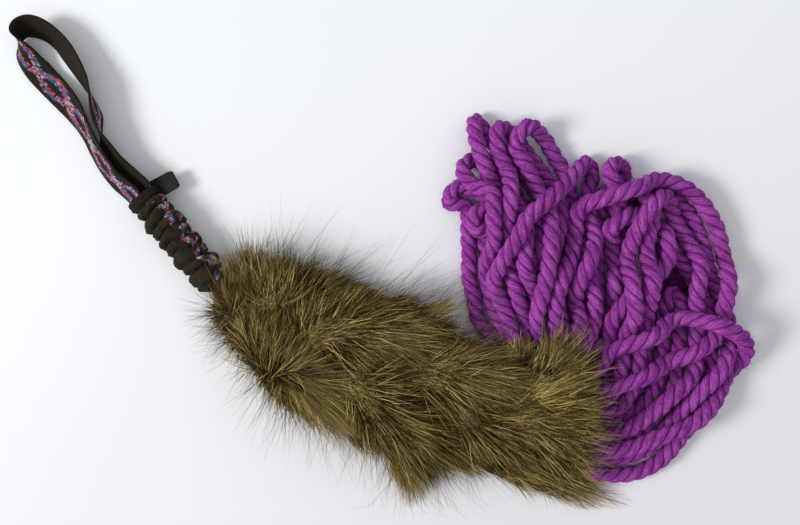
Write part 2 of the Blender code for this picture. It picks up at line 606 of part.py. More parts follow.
def yarn_plan(row, first, last, route_mm):
    """A loop seen from above with the radius at each point, and the height of its two ends."""
    ends = []
    for direction in (first, last):
        point, out = root_point(row, direction)
        fan = Vector((*KNOT_CENTRE, 0)) + out * YARN_FAN
        ends.append((point, point + out * YARN_ROOT_RUN, fan))
    (start, start_run, start_fan), (end, end_run, end_fan) = ends
    route = [start_run[:2], start_fan[:2]] + [(x * MM, y * MM) for x, y in route_mm] + [end_fan[:2], end_run[:2]]
    plan = smooth_route(route, YARN_POINTS - 2)
    plan = np.vstack([[start.x, start.y], plan, [end.x, end.y]])
    along = np.concatenate([[0.0], np.cumsum(np.linalg.norm(np.diff(plan, axis=0), axis=1))])
    radii = []
    for run in along:
        reach = min(run, along[-1] - run) - YARN_ROOT_RUN
        swell = smooth_step(reach / YARN_SWELL)
        radii.append((YARN_ROOT_DIAMETER + (YARN_DIAMETER - YARN_ROOT_DIAMETER) * swell) / 2)
    return plan, np.array(radii), along, start.z


def between(values, parts=4):
    """Values at finer steps between each point and the next."""
    shares = np.arange((len(values) - 1) * parts + 1) / parts
    return np.column_stack([np.interp(shares, np.arange(len(values)), column) for column in values.T])


def lay_loops():
    """Lay the loops one on another: from flat layers they sink until they rest on what is below."""
    plans = [yarn_plan(*entry) for entry in YARN_LOOPS_MM]
    count = len(plans)
    target = np.array([plan for plan, _, _, _ in plans])
    radii = np.array([radius for _, radius, _, _ in plans])
    along = np.array([run for _, _, run, _ in plans])
    rest = np.diff(along, axis=1)
    layer = (np.arange(count)[:, None] + along / along[:, -1:]) * YARN_DIAMETER * YARN_LAYER
    points = np.dstack([target, radii + layer])
    free = np.ones((count, YARN_POINTS))
    free[:, [0, 1, -2, -1]] = 0.0
    for index, (_, _, _, height) in enumerate(plans):
        points[index, [0, 1, -2, -1], 2] = height
    pinned = points.copy()

    samples = [between(np.column_stack([np.arange(YARN_POINTS), radii[i], along[i]])) for i in range(count)]
    place = np.concatenate([part[:, 0] for part in samples])
    reach = np.concatenate([part[:, 1] for part in samples])
    run = np.concatenate([part[:, 2] for part in samples])
    owner = np.repeat(np.arange(count), len(samples[0]))
    low = np.minimum(place.astype(int), YARN_POINTS - 2)
    share = place - low
    near = (owner[:, None] == owner[None, :]) & (np.abs(run[:, None] - run[None, :]) < YARN_OWN_RUN * YARN_DIAMETER)
    allowed = np.triu(~near, 1)
    touch = reach[:, None] + reach[None, :] + YARN_GAP
    flank = np.array(FLANK_MM) * MM
    facing = np.array(heading(FLANK_FACING)[:2])

    for step in range(SETTLE_STEPS):
        last = step >= SETTLE_STEPS - SETTLE_LAST
        if not last:
            points[:, :, 2] -= SETTLE_SINK * (points[:, :, 2] - radii) * free
            points[:, :, :2] += PLAN_PULL * (target - points[:, :, :2]) * free[:, :, None]
            gap = np.diff(points, axis=1)
            length = np.linalg.norm(gap, axis=2)
            pull = (0.5 * (length - rest) / length)[:, :, None] * gap * STRETCH
            points[:, :-1] += pull * free[:, :-1, None]
            points[:, 1:] -= pull * free[:, 1:, None]
            middle = (points[:, :-2] + points[:, 2:]) / 2
            points[:, 1:-1] += BEND * (middle - points[:, 1:-1]) * free[:, 1:-1, None]
        spots = points[owner, low] * (1 - share)[:, None] + points[owner, low + 1] * share[:, None]
        if step % SETTLE_LOOK == 0:
            square = np.sum(spots ** 2, axis=1)
            apart = square[:, None] + square[None, :] - 2 * spots @ spots.T
            one, other = np.nonzero(allowed & (apart < (touch + YARN_DIAMETER) ** 2))
        offset = spots[one] - spots[other]
        distance = np.linalg.norm(offset, axis=1)
        deep = np.maximum(touch[one, other] - distance, 0.0)
        push = offset / distance[:, None] * (deep / 2)[:, None]
        shift = np.zeros((count * YARN_POINTS, 3))
        weight = np.zeros(count * YARN_POINTS)
        for spot, sign in ((one, 1.0), (other, -1.0)):
            for corner, part in ((low[spot], 1 - share[spot]), (low[spot] + 1, share[spot])):
                where = owner[spot] * YARN_POINTS + corner
                part = part * (deep > 0)
                weight += np.bincount(where, part, count * YARN_POINTS)
                for axis in range(3):
                    shift[:, axis] += np.bincount(where, sign * push[:, axis] * part, count * YARN_POINTS)
        shift = shift / np.maximum(weight, 1.0)[:, None]
        points += PUSH * shift.reshape(points.shape) * free[:, :, None]
        points[:, :, 2] = np.maximum(points[:, :, 2], radii)
        clear = (points[:, :, :2] - flank) @ facing
        short = np.maximum(radii - clear, 0.0) * (points[:, :, 1] > KNOT_CENTRE[1])
        points[:, :, :2] += short[:, :, None] * facing
        points = np.where(free[:, :, None] > 0, points, pinned)
    return [(points[index], radii[index]) for index in range(count)]


def least_gap(loops):
    """The smallest gap between any two loops, and between parts of one loop, measured on points."""
    samples = [between(np.column_stack([points, radii]), 10) for points, radii in loops]
    least = 1.0
    where = None
    for number, one in enumerate(samples):
        for other_number in range(number, len(samples)):
            other = samples[other_number]
            apart = np.linalg.norm(one[:, None, :3] - other[None, :, :3], axis=2)
            apart = apart - one[:, None, 3] - other[None, :, 3]
            if other_number == number:
                steps = np.concatenate([[0], np.cumsum(np.linalg.norm(np.diff(one[:, :3], axis=0), axis=1))])
                near = np.abs(steps[:, None] - steps[None, :]) < YARN_OWN_RUN * YARN_DIAMETER
                apart = np.where(near, 1.0, apart)
            if apart.min() < least:
                least = apart.min()
                where = (number + 1, other_number + 1)
    return least, where


def make_mop():
    """The sewn knot that grips the yarn's ends, and the loops as single open tubes."""
    centre = Vector((*KNOT_CENTRE, 0.0))
    bm = bmesh.new()
    rim = bmesh.ops.create_cone(bm, cap_ends=True, segments=36, radius1=KNOT_RADIUS, radius2=KNOT_RADIUS,
                                depth=knot_top() - KNOT_FOOT)
    bmesh.ops.translate(bm, verts=rim["verts"], vec=centre + Vector((0, 0, (knot_top() + KNOT_FOOT) / 2)))
    finish("yarn_knot", bm, "thread", centre)
    loops = lay_loops()
    for number, (points, radii) in enumerate(loops, start=1):
        curve = bpy.data.curves.new(f"yarn_loop_{number:02d}", "CURVE")
        curve.dimensions = "3D"
        curve.bevel_depth = 1.0
        curve.bevel_resolution = 1
        curve.render_resolution_u = 0
        curve.use_fill_caps = True
        spline = curve.splines.new("POLY")
        spline.points.add(len(points) - 1)
        for point, place, radius in zip(spline.points, points, radii):
            point.co = (*(place - np.array(centre)), 1.0)
            point.radius = radius
        curve.materials.append(material("yarn"))
        made = bpy.data.objects.new(curve.name, curve)
        made.location = centre
        bpy.context.scene.collection.objects.link(made)
    least, where = least_gap(loops)
    longest = max(points[:, 2].max() for points, _ in loops)
    print(f"least gap between yarn loops {least / MM:.2f} mm, loops {where}, top {longest / MM:.1f} mm")


def main():
    """Build the whole toy."""
    clear_scene()
    make_grip()
    make_bungee()
    make_plait()
    make_mop()


main()
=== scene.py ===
"""Fur braid tug toy lying on a pale floor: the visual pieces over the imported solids.

Metres, +Z up. Routes and sizes are those of the part's own solids, so each piece lies where its solid is.
"""
import logging
import math
from dataclasses import dataclass, field
from enum import Enum
from typing import Callable, Iterable, Optional, Sequence

import bmesh
import bpy
import numpy as np
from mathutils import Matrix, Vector, kdtree, noise


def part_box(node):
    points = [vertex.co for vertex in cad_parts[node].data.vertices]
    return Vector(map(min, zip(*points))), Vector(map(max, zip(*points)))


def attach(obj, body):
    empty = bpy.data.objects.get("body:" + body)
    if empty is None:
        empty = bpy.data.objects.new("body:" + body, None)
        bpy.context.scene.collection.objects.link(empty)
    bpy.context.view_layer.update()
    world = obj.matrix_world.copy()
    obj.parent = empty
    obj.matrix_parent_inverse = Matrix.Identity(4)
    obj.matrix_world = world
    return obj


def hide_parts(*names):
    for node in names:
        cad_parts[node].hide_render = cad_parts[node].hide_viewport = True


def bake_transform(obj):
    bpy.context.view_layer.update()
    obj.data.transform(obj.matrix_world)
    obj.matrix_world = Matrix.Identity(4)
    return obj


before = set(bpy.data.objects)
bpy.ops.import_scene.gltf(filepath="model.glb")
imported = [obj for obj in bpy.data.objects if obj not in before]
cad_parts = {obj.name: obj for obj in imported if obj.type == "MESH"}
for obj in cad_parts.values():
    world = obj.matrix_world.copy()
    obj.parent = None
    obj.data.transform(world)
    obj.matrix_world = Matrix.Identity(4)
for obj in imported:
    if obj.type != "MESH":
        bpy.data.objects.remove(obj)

logging.basicConfig(level=logging.INFO, format="%(message)s")
log = logging.getLogger("tug_toy")

MM = 0.001
CLEARANCE = 0.3 * MM
Ring = list[Vector]


class Body(Enum):
    """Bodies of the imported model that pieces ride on."""

    BRAID = "braid"
    BUNGEE = "bungee"
    HEAD = "head"
    GRIP = "grip"
    TAG = "tag"
    MOP = "mop"


class Band(Enum):
    """Which way the woven motif shows on a webbing piece."""

    OUTER_FACE = "outer"
    GATHERED = "gathered"
    PLAIN = "plain"


# plan geometry


def heading(degrees: float) -> Vector:
    """Unit vector in plan at an angle from +X."""
    angle = math.radians(degrees)
    return Vector((math.cos(angle), math.sin(angle), 0.0))


def left_of(direction: Vector) -> Vector:
    """Unit vector to the left of a plan direction."""
    return Vector((-direction.y, direction.x, 0.0)).normalized()


def smooth_step(value):
    """Ease from 0 to 1, for a number or an array."""
    value = np.clip(value, 0.0, 1.0)
    return value * value * (3.0 - 2.0 * value)


def smooth_route(points: Sequence, count: int, flat: bool = True) -> np.ndarray:
    """Points evenly spaced along a Catmull-Rom curve through a route's own points.

    Args:
        points: rows of the route; the first two columns are its plan.
        count: how many points to return.
        flat: measure the spacing in plan only.

    Returns:
        One row for each point, with the route's columns.
    """
    rows = np.asarray(points, dtype=float)
    rows = np.vstack([2 * rows[0] - rows[1], rows, 2 * rows[-1] - rows[-2]])
    fine = []
    for index in range(1, len(rows) - 2):
        before, start, end, after = rows[index - 1:index + 3]
        for step in np.arange(16) / 16.0:
            fine.append(0.5 * (2 * start + (end - before) * step
                               + (2 * before - 5 * start + 4 * end - after) * step ** 2
                               + (3 * start - before - 3 * end + after) * step ** 3))
    fine.append(rows[-2])
    fine = np.array(fine)
    columns = 2 if flat else 3
    lengths = np.linalg.norm(np.diff(fine[:, :columns], axis=0), axis=1)
    along = np.concatenate([[0.0], np.cumsum(lengths)])
    stations = np.linspace(0.0, along[-1], count)
    return np.column_stack([np.interp(stations, along, column) for column in fine.T])


# mesh making


def sweep(rings: Sequence[Ring], around: dict[str, Sequence[float]], along: Sequence[float],
          closed: bool = False) -> bmesh.types.BMesh:
    """Extrude a ring from station to station and note where each point lies for the finishes.

    Args:
        rings: cross-sections, all with the same number of points.
        around: values round a ring, kept on the points under these names.
        along: value of each ring, kept on its points as "along".
        closed: join the last ring to the first instead of capping both.

    Returns:
        The swept bmesh.
    """
    bm = bmesh.new()
    slot = bm.verts.layers.int.new("slot")
    run = bm.verts.layers.float.new("along")
    kept = {name: bm.verts.layers.float.new(name) for name in around}

    def note(corner: bmesh.types.BMVert, station: int) -> None:
        """Write a point's values."""
        corner[run] = along[station]
        for name, values in around.items():
            corner[kept[name]] = values[corner[slot]]

    corners = []
    for index, point in enumerate(rings[0]):
        corner = bm.verts.new(point)
        corner[slot] = index
        note(corner, 0)
        corners.append(corner)
    edges = [bm.edges.new((corners[i - 1], corners[i])) for i in range(len(corners))]
    first = list(edges)
    for station, ring in enumerate(rings[1:], start=1):
        grown = bmesh.ops.extrude_edge_only(bm, edges=edges)["geom"]
        edges = [item for item in grown if isinstance(item, bmesh.types.BMEdge)]
        for item in grown:
            if isinstance(item, bmesh.types.BMVert):
                item.co = ring[item[slot]]
                note(item, station)
    if closed:
        bmesh.ops.bridge_loops(bm, edges=first + edges)
    else:
        bmesh.ops.contextual_create(bm, geom=first)
        bmesh.ops.contextual_create(bm, geom=edges)
    return bm


def finished(name: str, bm: bmesh.types.BMesh, dress: bpy.types.Material, body: Optional[Body],
             replaces: Sequence[str] = (), sharp: float = 180.0) -> bpy.types.Object:
    """Turn a bmesh in world places into a piece that rides on a body.

    Args:
        name: the piece's name.
        bm: its shape, which is freed.
        dress: its material.
        body: the body that it rides on, or None to leave it unattached, for a piece that lies between two bodies.
        replaces: solids that the piece stands for.
        sharp: edges over this angle in degrees are shaded sharp.

    Returns:
        The new object.
    """
    bmesh.ops.recalc_face_normals(bm, faces=bm.faces)
    mesh = bpy.data.meshes.new(name)
    bm.to_mesh(mesh)
    bm.free()
    mesh.shade_smooth()
    if sharp < 180.0:
        mesh.set_sharp_from_angle(angle=math.radians(sharp))
    mesh.materials.append(dress)
    return placed(bpy.data.objects.new(name, mesh), body, replaces)


def placed(made: bpy.types.Object, body: Optional[Body], replaces: Sequence[str] = ()) -> bpy.types.Object:
    """Link a piece, let it ride on its body and hide the solids that it stands for."""
    bpy.context.scene.collection.objects.link(made)
    if body is not None:
        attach(made, body.value)
    if replaces:
        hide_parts(*replaces)
    log.info("%s: %d faces on %s", made.name, len(made.data.polygons), body.value if body else "two bodies")
    return made


# finishes


@dataclass(frozen=True)
class Graph:
    """A node tree with short ways to add nodes and join them."""

    tree: bpy.types.NodeTree

    def node(self, kind: str, **settings) -> bpy.types.Node:
        """Add a node and set its own properties."""
        made = self.tree.nodes.new(kind)
        for name, value in settings.items():
            setattr(made, name, value)
        return made

    def feed(self, socket: bpy.types.NodeSocket, value) -> None:
        """Join an output to a socket, or write a plain value on it."""
        if isinstance(value, bpy.types.NodeSocket):
            self.tree.links.new(value, socket)
        else:
            socket.default_value = value

    def math(self, operation: str, *values) -> bpy.types.NodeSocket:
        """Result of a math node on sockets or numbers."""
        made = self.node("ShaderNodeMath", operation=operation)
        for socket, value in zip(made.inputs, values):
            self.feed(socket, value)
        return made.outputs[0]

    def attribute(self, name: str) -> bpy.types.NodeSocket:
        """Value of a piece's own point attribute."""
        return self.node("ShaderNodeAttribute", attribute_name=name).outputs["Fac"]

    def place(self) -> bpy.types.NodeSocket:
        """Object coordinates."""
        return self.node("ShaderNodeTexCoord").outputs["Object"]

    def vector(self, *values) -> bpy.types.NodeSocket:
        """A vector from three sockets or numbers."""
        made = self.node("ShaderNodeCombineXYZ")
        for socket, value in zip(made.inputs, values):
            self.feed(socket, value)
        return made.outputs[0]

    def noise(self, where: bpy.types.NodeSocket, scale: float, detail: float = 2.0) -> bpy.types.NodeSocket:
        """Value of a noise texture."""
        made = self.node("ShaderNodeTexNoise")
        self.feed(made.inputs["Vector"], where)
        made.inputs["Scale"].default_value = scale
        made.inputs["Detail"].default_value = detail
        return made.outputs["Fac"]

    def between(self, share, one, other) -> bpy.types.NodeSocket:
        """Colour between two colours, by a share from 0 to 1."""
        made = self.node("ShaderNodeMix", data_type="RGBA")
        self.feed(made.inputs[0], share)
        self.feed(made.inputs[6], one)
        self.feed(made.inputs[7], other)
        return made.outputs[2]

    def ramp(self, value, low: float, high: float) -> bpy.types.NodeSocket:
        """Value mapped from low..high to 0..1, smooth and clamped."""
        made = self.node("ShaderNodeMapRange", interpolation_type="SMOOTHSTEP")
        self.feed(made.inputs["Value"], value)
        made.inputs["From Min"].default_value = low
        made.inputs["From Max"].default_value = high
        return made.outputs[0]

    def group(self, shared: bpy.types.NodeTree, **values) -> bpy.types.Node:
        """Place a shared node group and feed its inputs."""
        made = self.node("ShaderNodeGroup", node_tree=shared)
        for name, value in values.items():
            self.feed(made.inputs[name.replace("_", " ")], value)
        return made


def rgba(colour: tuple[float, float, float]) -> tuple[float, float, float, float]:
    """Colour with full alpha."""
    return (*colour, 1.0)


def new_group(name: str, inputs: dict[str, str], outputs: dict[str, str]) -> tuple[Graph, bpy.types.Node, bpy.types.Node]:
    """Start a shared node group.

    Args:
        name: the group's name.
        inputs: socket kind by input name.
        outputs: socket kind by output name.

    Returns:
        Its graph, its input node and its output node.
    """
    tree = bpy.data.node_groups.new(name, "ShaderNodeTree")
    for label, kind in inputs.items():
        tree.interface.new_socket(name=label, in_out="INPUT", socket_type=kind)
    for label, kind in outputs.items():
        tree.interface.new_socket(name=label, in_out="OUTPUT", socket_type=kind)
    graph = Graph(tree)
    return graph, graph.node("NodeGroupInput"), graph.node("NodeGroupOutput")


def weave_group() -> bpy.types.NodeTree:
    """Ribs of a woven band: height and shade from the places across and along it."""
    name = "woven ribs"
    if name in bpy.data.node_groups:
        return bpy.data.node_groups[name]
    number = "NodeSocketFloat"
    graph, given, out = new_group(name, {"Across": number, "Along": number, "Pitch": number, "Skew": number},
                                  {"Height": number, "Shade": number})
    run = graph.math("ADD", given.outputs["Along"], graph.math("MULTIPLY", given.outputs["Across"],
                                                               given.outputs["Skew"]))
    turns = graph.math("MULTIPLY", graph.math("DIVIDE", run, given.outputs["Pitch"]), 2 * math.pi)
    rib = graph.math("MULTIPLY_ADD", graph.math("SINE", turns), 0.5, 0.5)
    threads = graph.math("MULTIPLY_ADD", graph.math("SINE", graph.math("MULTIPLY", given.outputs["Across"], 62.0)),
                         0.5, 0.5)
    height = graph.math("ADD", rib, graph.math("MULTIPLY", threads, 0.25))
    graph.feed(out.inputs["Height"], height)
    graph.feed(out.inputs["Shade"], graph.math("MULTIPLY_ADD", graph.math("POWER", rib, 1.6), 0.95, 0.10))
    return graph.tree


def grain_group() -> bpy.types.NodeTree:
    """Uneven dye and dust: a coarse and a fine variation over a surface."""
    name = "uneven dye"
    if name in bpy.data.node_groups:
        return bpy.data.node_groups[name]
    number = "NodeSocketFloat"
    graph, given, out = new_group(name, {"Place": "NodeSocketVector", "Coarse": number, "Fine": number},
                                  {"Cloud": number, "Speck": number})
    for label, scale in (("Cloud", "Coarse"), ("Speck", "Fine")):
        texture = graph.node("ShaderNodeTexNoise")
        texture.inputs["Detail"].default_value = 3.0
        graph.feed(texture.inputs["Vector"], given.outputs["Place"])
        graph.feed(texture.inputs["Scale"], given.outputs[scale])
        graph.feed(out.inputs[label], texture.outputs["Fac"])
    return graph.tree


@dataclass(frozen=True)
class Finish:
    """Base of the finishes: a name, roughness and sheen for a Principled shader."""

    name: str
    roughness: float = 0.8
    sheen: float = 0.0
    sheen_tint: tuple[float, float, float] = (1.0, 1.0, 1.0)

    def start(self) -> tuple[bpy.types.Material, Graph, bpy.types.Node]:
        """New material with its graph and its shader, the plain values set on the shader's own sockets."""
        made = bpy.data.materials.new(self.name)
        made.use_nodes = True
        graph = Graph(made.node_tree)
        shader = made.node_tree.nodes["Principled BSDF"]
        shader.inputs["Roughness"].default_value = self.roughness
        shader.inputs["Sheen Weight"].default_value = self.sheen
        shader.inputs["Sheen Roughness"].default_value = 0.5
        shader.inputs["Sheen Tint"].default_value = rgba(self.sheen_tint)
        return made, graph, shader

    def bump(self, graph: Graph, shader: bpy.types.Node, height, depth: float, strength: float = 1.0) -> None:
        """Give the shader a bump of a real depth in metres."""
        made = graph.node("ShaderNodeBump")
        made.inputs["Strength"].default_value = strength
        made.inputs["Distance"].default_value = depth
        graph.feed(made.inputs["Height"], height)
        graph.feed(shader.inputs["Normal"], made.outputs[0])


@dataclass(frozen=True)
class WebbingFinish(Finish):
    """Dark ribbed webbing with a chain of woven ovals along its middle."""

    ground: tuple[float, float, float] = (0.004, 0.003, 0.002)
    light: tuple[float, float, float] = (0.034, 0.025, 0.012)
    warm: tuple[float, float, float] = (0.50, 0.090, 0.15)
    cool: tuple[float, float, float] = (0.070, 0.135, 0.32)
    pale: tuple[float, float, float] = (0.58, 0.48, 0.48)
    unit: float = 42.0 * MM
    offset: float = 0.0
    spread: float = 0.50
    line: float = 0.37
    pitch: float = 1.75 * MM
    skew: float = 3.0 * MM
    fold_scale: float = 75.0
    band: Band = Band.OUTER_FACE

    def material(self) -> bpy.types.Material:
        """Ribs from the shared weave, motif lines drawn where the band shows."""
        made, graph, shader = self.start()
        across, along = graph.attribute("across"), graph.attribute("along")
        ribs = graph.group(weave_group(), Across=across, Along=along, Pitch=self.pitch, Skew=self.skew)
        dye = graph.group(grain_group(), Place=graph.place(), Coarse=45.0, Fine=900.0)
        shade = graph.math("MULTIPLY", ribs.outputs["Shade"],
                           graph.math("MULTIPLY_ADD", dye.outputs["Cloud"], 0.9, 0.45))
        ground = graph.between(shade, rgba(self.ground), rgba(self.light))

        if self.band is Band.PLAIN:
            graph.feed(shader.inputs["Base Color"], ground)
            shader.inputs["Specular IOR Level"].default_value = 0.15
            self.bump(graph, shader, ribs.outputs["Height"], 0.45 * MM, 1.0)
            return made

        # The woven floats step from rib to rib, so the motif is read at the middle of each small cell
        slant = graph.math("MULTIPLY_ADD", across, self.skew, along)
        cell_run = graph.math("MULTIPLY_ADD", graph.math("FLOOR", graph.math("DIVIDE", slant, self.pitch)), self.pitch,
                              self.offset)
        cell_side = graph.math("DIVIDE", graph.math("FLOOR", graph.math("MULTIPLY", across, 9.0)), 9.0)
        chance = graph.node("ShaderNodeTexWhiteNoise", noise_dimensions="3D")
        graph.feed(chance.inputs["Vector"], graph.vector(graph.math("MULTIPLY", cell_run, 1000.0), cell_side, 1.0))
        luck, split = chance.outputs["Value"], graph.node("ShaderNodeSeparateColor")
        graph.feed(split.inputs[0], chance.outputs["Color"])
        turn = graph.math("DIVIDE", cell_run, self.unit)
        wave = graph.math("ABSOLUTE", graph.math("SINE", graph.math("MULTIPLY", turn, math.pi)))
        side = graph.math("ABSOLUTE", graph.math("ADD", cell_side, 0.5 / 9.0))
        off = graph.math("SUBTRACT", side, graph.math("MULTIPLY", wave, self.spread))
        ragged = graph.math("MULTIPLY_ADD", graph.math("SUBTRACT", luck, 0.5), 0.12, graph.math("ABSOLUTE", off))
        lines = graph.math("SUBTRACT", 1.0, graph.ramp(ragged, self.line * 0.55, self.line * 0.75))
        lines = graph.math("MULTIPLY", lines, graph.ramp(luck, 0.10, 0.16))
        stitch = graph.math("SINE", graph.math("MULTIPLY", slant, 2 * math.pi / self.pitch))
        stitch = graph.ramp(graph.math("ADD", stitch, dye.outputs["Speck"]), -0.5, 0.5)
        node_share = graph.math("SUBTRACT", 1.0, graph.ramp(wave, 0.22, 0.58))
        lattice = graph.math("MULTIPLY", graph.ramp(split.outputs[1], 0.35, 0.45), node_share)
        lattice = graph.math("MULTIPLY", lattice, graph.math("SUBTRACT", 1.0, graph.ramp(side, 0.20, 0.34)))
        flip = graph.math("SIGN", graph.math("SINE", graph.math("MULTIPLY_ADD", turn, 2.0 * math.pi, graph.math(
            "MULTIPLY", graph.math("SIGN", across), 1.3))))
        which = graph.math("MULTIPLY", flip, off)
        which = graph.math("MULTIPLY_ADD", graph.math("SUBTRACT", split.outputs[0], 0.5), 0.13, which)
        tint = graph.between(graph.ramp(which, -0.02, 0.02), rgba(self.warm), rgba(self.cool))
        pale_share = graph.math("MAXIMUM", graph.math("MULTIPLY", node_share, graph.ramp(split.outputs[2], 0.40, 0.55)),
                                graph.ramp(split.outputs[2], 0.88, 0.92))
        tint = graph.between(pale_share, tint, rgba(self.pale))
        shown = graph.math("MAXIMUM", lines, graph.math("MULTIPLY", lattice, 0.8))
        shown = graph.math("MULTIPLY", shown, graph.math("MULTIPLY_ADD", stitch, 0.62, 0.34))
        if self.band is Band.OUTER_FACE:
            shown = graph.math("MULTIPLY", shown, graph.ramp(graph.attribute("face"), 0.0, 0.2))
        else:
            folded = graph.noise(graph.vector(graph.math("MULTIPLY", along, self.fold_scale), across, 0.0), 1.0, 0.0)
            shown = graph.math("MULTIPLY", shown, graph.ramp(folded, 0.40, 0.50))
        shown = graph.math("MULTIPLY", shown, graph.math("SUBTRACT", 1.0, graph.ramp(side, 0.70, 0.84)))
        colour = graph.between(shown, ground, tint)
        graph.feed(shader.inputs["Base Color"], colour)
        shader.inputs["Specular IOR Level"].default_value = 0.15
        self.bump(graph, shader, ribs.outputs["Height"], 0.45 * MM, 1.0)
        return made


@dataclass(frozen=True)
class StitchFinish(Finish):
    """Dense zigzag stitching over cloth."""

    ground: tuple[float, float, float] = (0.007, 0.005, 0.003)
    thread: tuple[float, float, float] = (0.042, 0.034, 0.022)
    pitch: float = 1.1 * MM
    turn: float = 40.0

    def material(self) -> bpy.types.Material:
        """Rows of thread across the piece, broken by noise."""
        made, graph, shader = self.start()
        place = graph.place()
        turned = graph.node("ShaderNodeMapping")
        turned.inputs["Rotation"].default_value = (0.0, 0.0, math.radians(self.turn))
        graph.feed(turned.inputs["Vector"], place)
        split = graph.node("ShaderNodeSeparateXYZ")
        graph.feed(split.inputs[0], turned.outputs[0])
        dye = graph.group(grain_group(), Place=place, Coarse=60.0, Fine=700.0)
        sway = graph.math("MULTIPLY", graph.math("SINE", graph.math("MULTIPLY", split.outputs["Y"], 1500.0)), 0.7)
        row = graph.math("SINE", graph.math("ADD", graph.math("MULTIPLY", split.outputs["X"],
                                                              2 * math.pi / self.pitch), sway))
        height = graph.math("MULTIPLY_ADD", row, 0.5, graph.math("MULTIPLY", dye.outputs["Speck"], 0.6))
        colour = graph.between(graph.ramp(height, 0.0, 0.8), rgba(self.ground), rgba(self.thread))
        graph.feed(shader.inputs["Base Color"], colour)
        self.bump(graph, shader, height, 0.3 * MM)
        return made


@dataclass(frozen=True)
class RibbonFinish(Finish):
    """Fine black ribbon with a bound edge, bare of any print."""

    ground: tuple[float, float, float] = (0.002, 0.002, 0.001)
    light: tuple[float, float, float] = (0.006, 0.006, 0.003)

    def material(self) -> bpy.types.Material:
        """Fine ribs across the ribbon, and a closer weave along both edges."""
        made, graph, shader = self.start()
        across, along = graph.attribute("across"), graph.attribute("along")
        ribs = graph.group(weave_group(), Across=across, Along=along, Pitch=0.55 * MM, Skew=0.0)
        dye = graph.group(grain_group(), Place=graph.place(), Coarse=120.0, Fine=1500.0)
        edge = graph.ramp(graph.math("ABSOLUTE", across), 0.84, 0.90)
        shade = graph.math("MULTIPLY", ribs.outputs["Shade"],
                           graph.math("ADD", dye.outputs["Cloud"], graph.math("MULTIPLY", edge, 0.5)))
        graph.feed(shader.inputs["Base Color"], graph.between(shade, rgba(self.ground), rgba(self.light)))
        graph.feed(shader.inputs["Roughness"], graph.math("MULTIPLY_ADD", dye.outputs["Speck"], 0.2, 0.50))
        shader.inputs["Specular IOR Level"].default_value = 0.25
        self.bump(graph, shader, ribs.outputs["Height"], 0.10 * MM)
        return made


@dataclass(frozen=True)
class HairFinish(Finish):
    """Hair from roots darkened by painted shade to paler tips, each hair with its own tone."""

    # root: colour of the painted shade at the base of each hair
    root: tuple[float, float, float] = (0.006, 0.003, 0.0004)
    dark: tuple[float, float, float] = (0.021, 0.0115, 0.0015)
    light: tuple[float, float, float] = (0.740, 0.550, 0.190)

    def material(self) -> bpy.types.Material:
        """Tone from the hair's own value, painted shade from the place along it."""
        made, graph, shader = self.start()
        tone, run = graph.attribute("tone"), graph.attribute("run")
        body = graph.between(tone, rgba(self.dark), rgba(self.light))
        dye = graph.group(grain_group(), Place=graph.place(), Coarse=38.0, Fine=420.0)
        body = graph.between(graph.math("MULTIPLY", graph.ramp(dye.outputs["Cloud"], 0.42, 0.72), 0.35), body,
                             rgba(self.dark))
        # Painted shade: each hair darkens to the root colour towards its root, where the coat shades it
        colour = graph.between(graph.ramp(run, -0.02, 0.62), rgba(self.root), body)
        graph.feed(shader.inputs["Base Color"], colour)
        shader.inputs["Specular IOR Level"].default_value = 0.05
        return made


@dataclass(frozen=True)
class SkinFinish(Finish):
    """Backing cloth under the hair, dark and matted."""

    ground: tuple[float, float, float] = (0.012, 0.007, 0.001)
    light: tuple[float, float, float] = (0.055, 0.034, 0.006)

    def material(self) -> bpy.types.Material:
        """Short matted fibre all over."""
        made, graph, shader = self.start()
        place = graph.place()
        dye = graph.group(grain_group(), Place=place, Coarse=70.0, Fine=650.0)
        share = graph.math("MULTIPLY", dye.outputs["Cloud"], dye.outputs["Speck"])
        graph.feed(shader.inputs["Base Color"], graph.between(graph.ramp(share, 0.12, 0.42), rgba(self.ground),
                                                              rgba(self.light)))
        shader.inputs["Specular IOR Level"].default_value = 0.1
        self.bump(graph, shader, dye.outputs["Speck"], 1.2 * MM)
        return made


@dataclass(frozen=True)
class YarnFinish(Finish):
    """Soft twisted yarn: fine fibres that follow each ply."""

    # deep: colour of the painted shade in the grooves between plies
    deep: tuple[float, float, float] = (0.072, 0.004, 0.092)
    main: tuple[float, float, float] = (0.215, 0.017, 0.240)
    light: tuple[float, float, float] = (0.500, 0.110, 0.520)

    def material(self) -> bpy.types.Material:
        """Painted shade deepens the colour in the grooves between plies; fibres run with the twist."""
        made, graph, shader = self.start()
        along = graph.attribute("along")
        where = graph.vector(graph.attribute("swirl_x"), graph.attribute("swirl_y"),
                             graph.math("MULTIPLY", along, 24.0))
        fibre = graph.noise(where, 7.0, 5.0)
        nub = graph.noise(graph.place(), 520.0, 3.0)
        dye = graph.group(grain_group(), Place=graph.place(), Coarse=55.0, Fine=1100.0)
        groove_shade = graph.attribute("groove_shade")
        share = graph.math("MULTIPLY_ADD", graph.math("SUBTRACT", fibre, 0.5), 1.9,
                           graph.math("MULTIPLY_ADD", dye.outputs["Cloud"], 0.7, 0.08))
        share = graph.math("MULTIPLY_ADD", graph.math("SUBTRACT", nub, 0.5), 0.9, share)
        colour = graph.between(graph.ramp(share, 0.05, 0.95), rgba(self.main), rgba(self.light))
        # Painted shade: the grooves between plies turn to the deep colour
        colour = graph.between(graph.ramp(groove_shade, 0.45, 1.15), colour, rgba(self.deep))
        graph.feed(shader.inputs["Base Color"], colour)
        height = graph.math("ADD", fibre, graph.math("MULTIPLY", nub, 0.6))
        shader.inputs["Specular IOR Level"].default_value = 0.15
        self.bump(graph, shader, height, 1.3 * MM, 1.0)
        return made


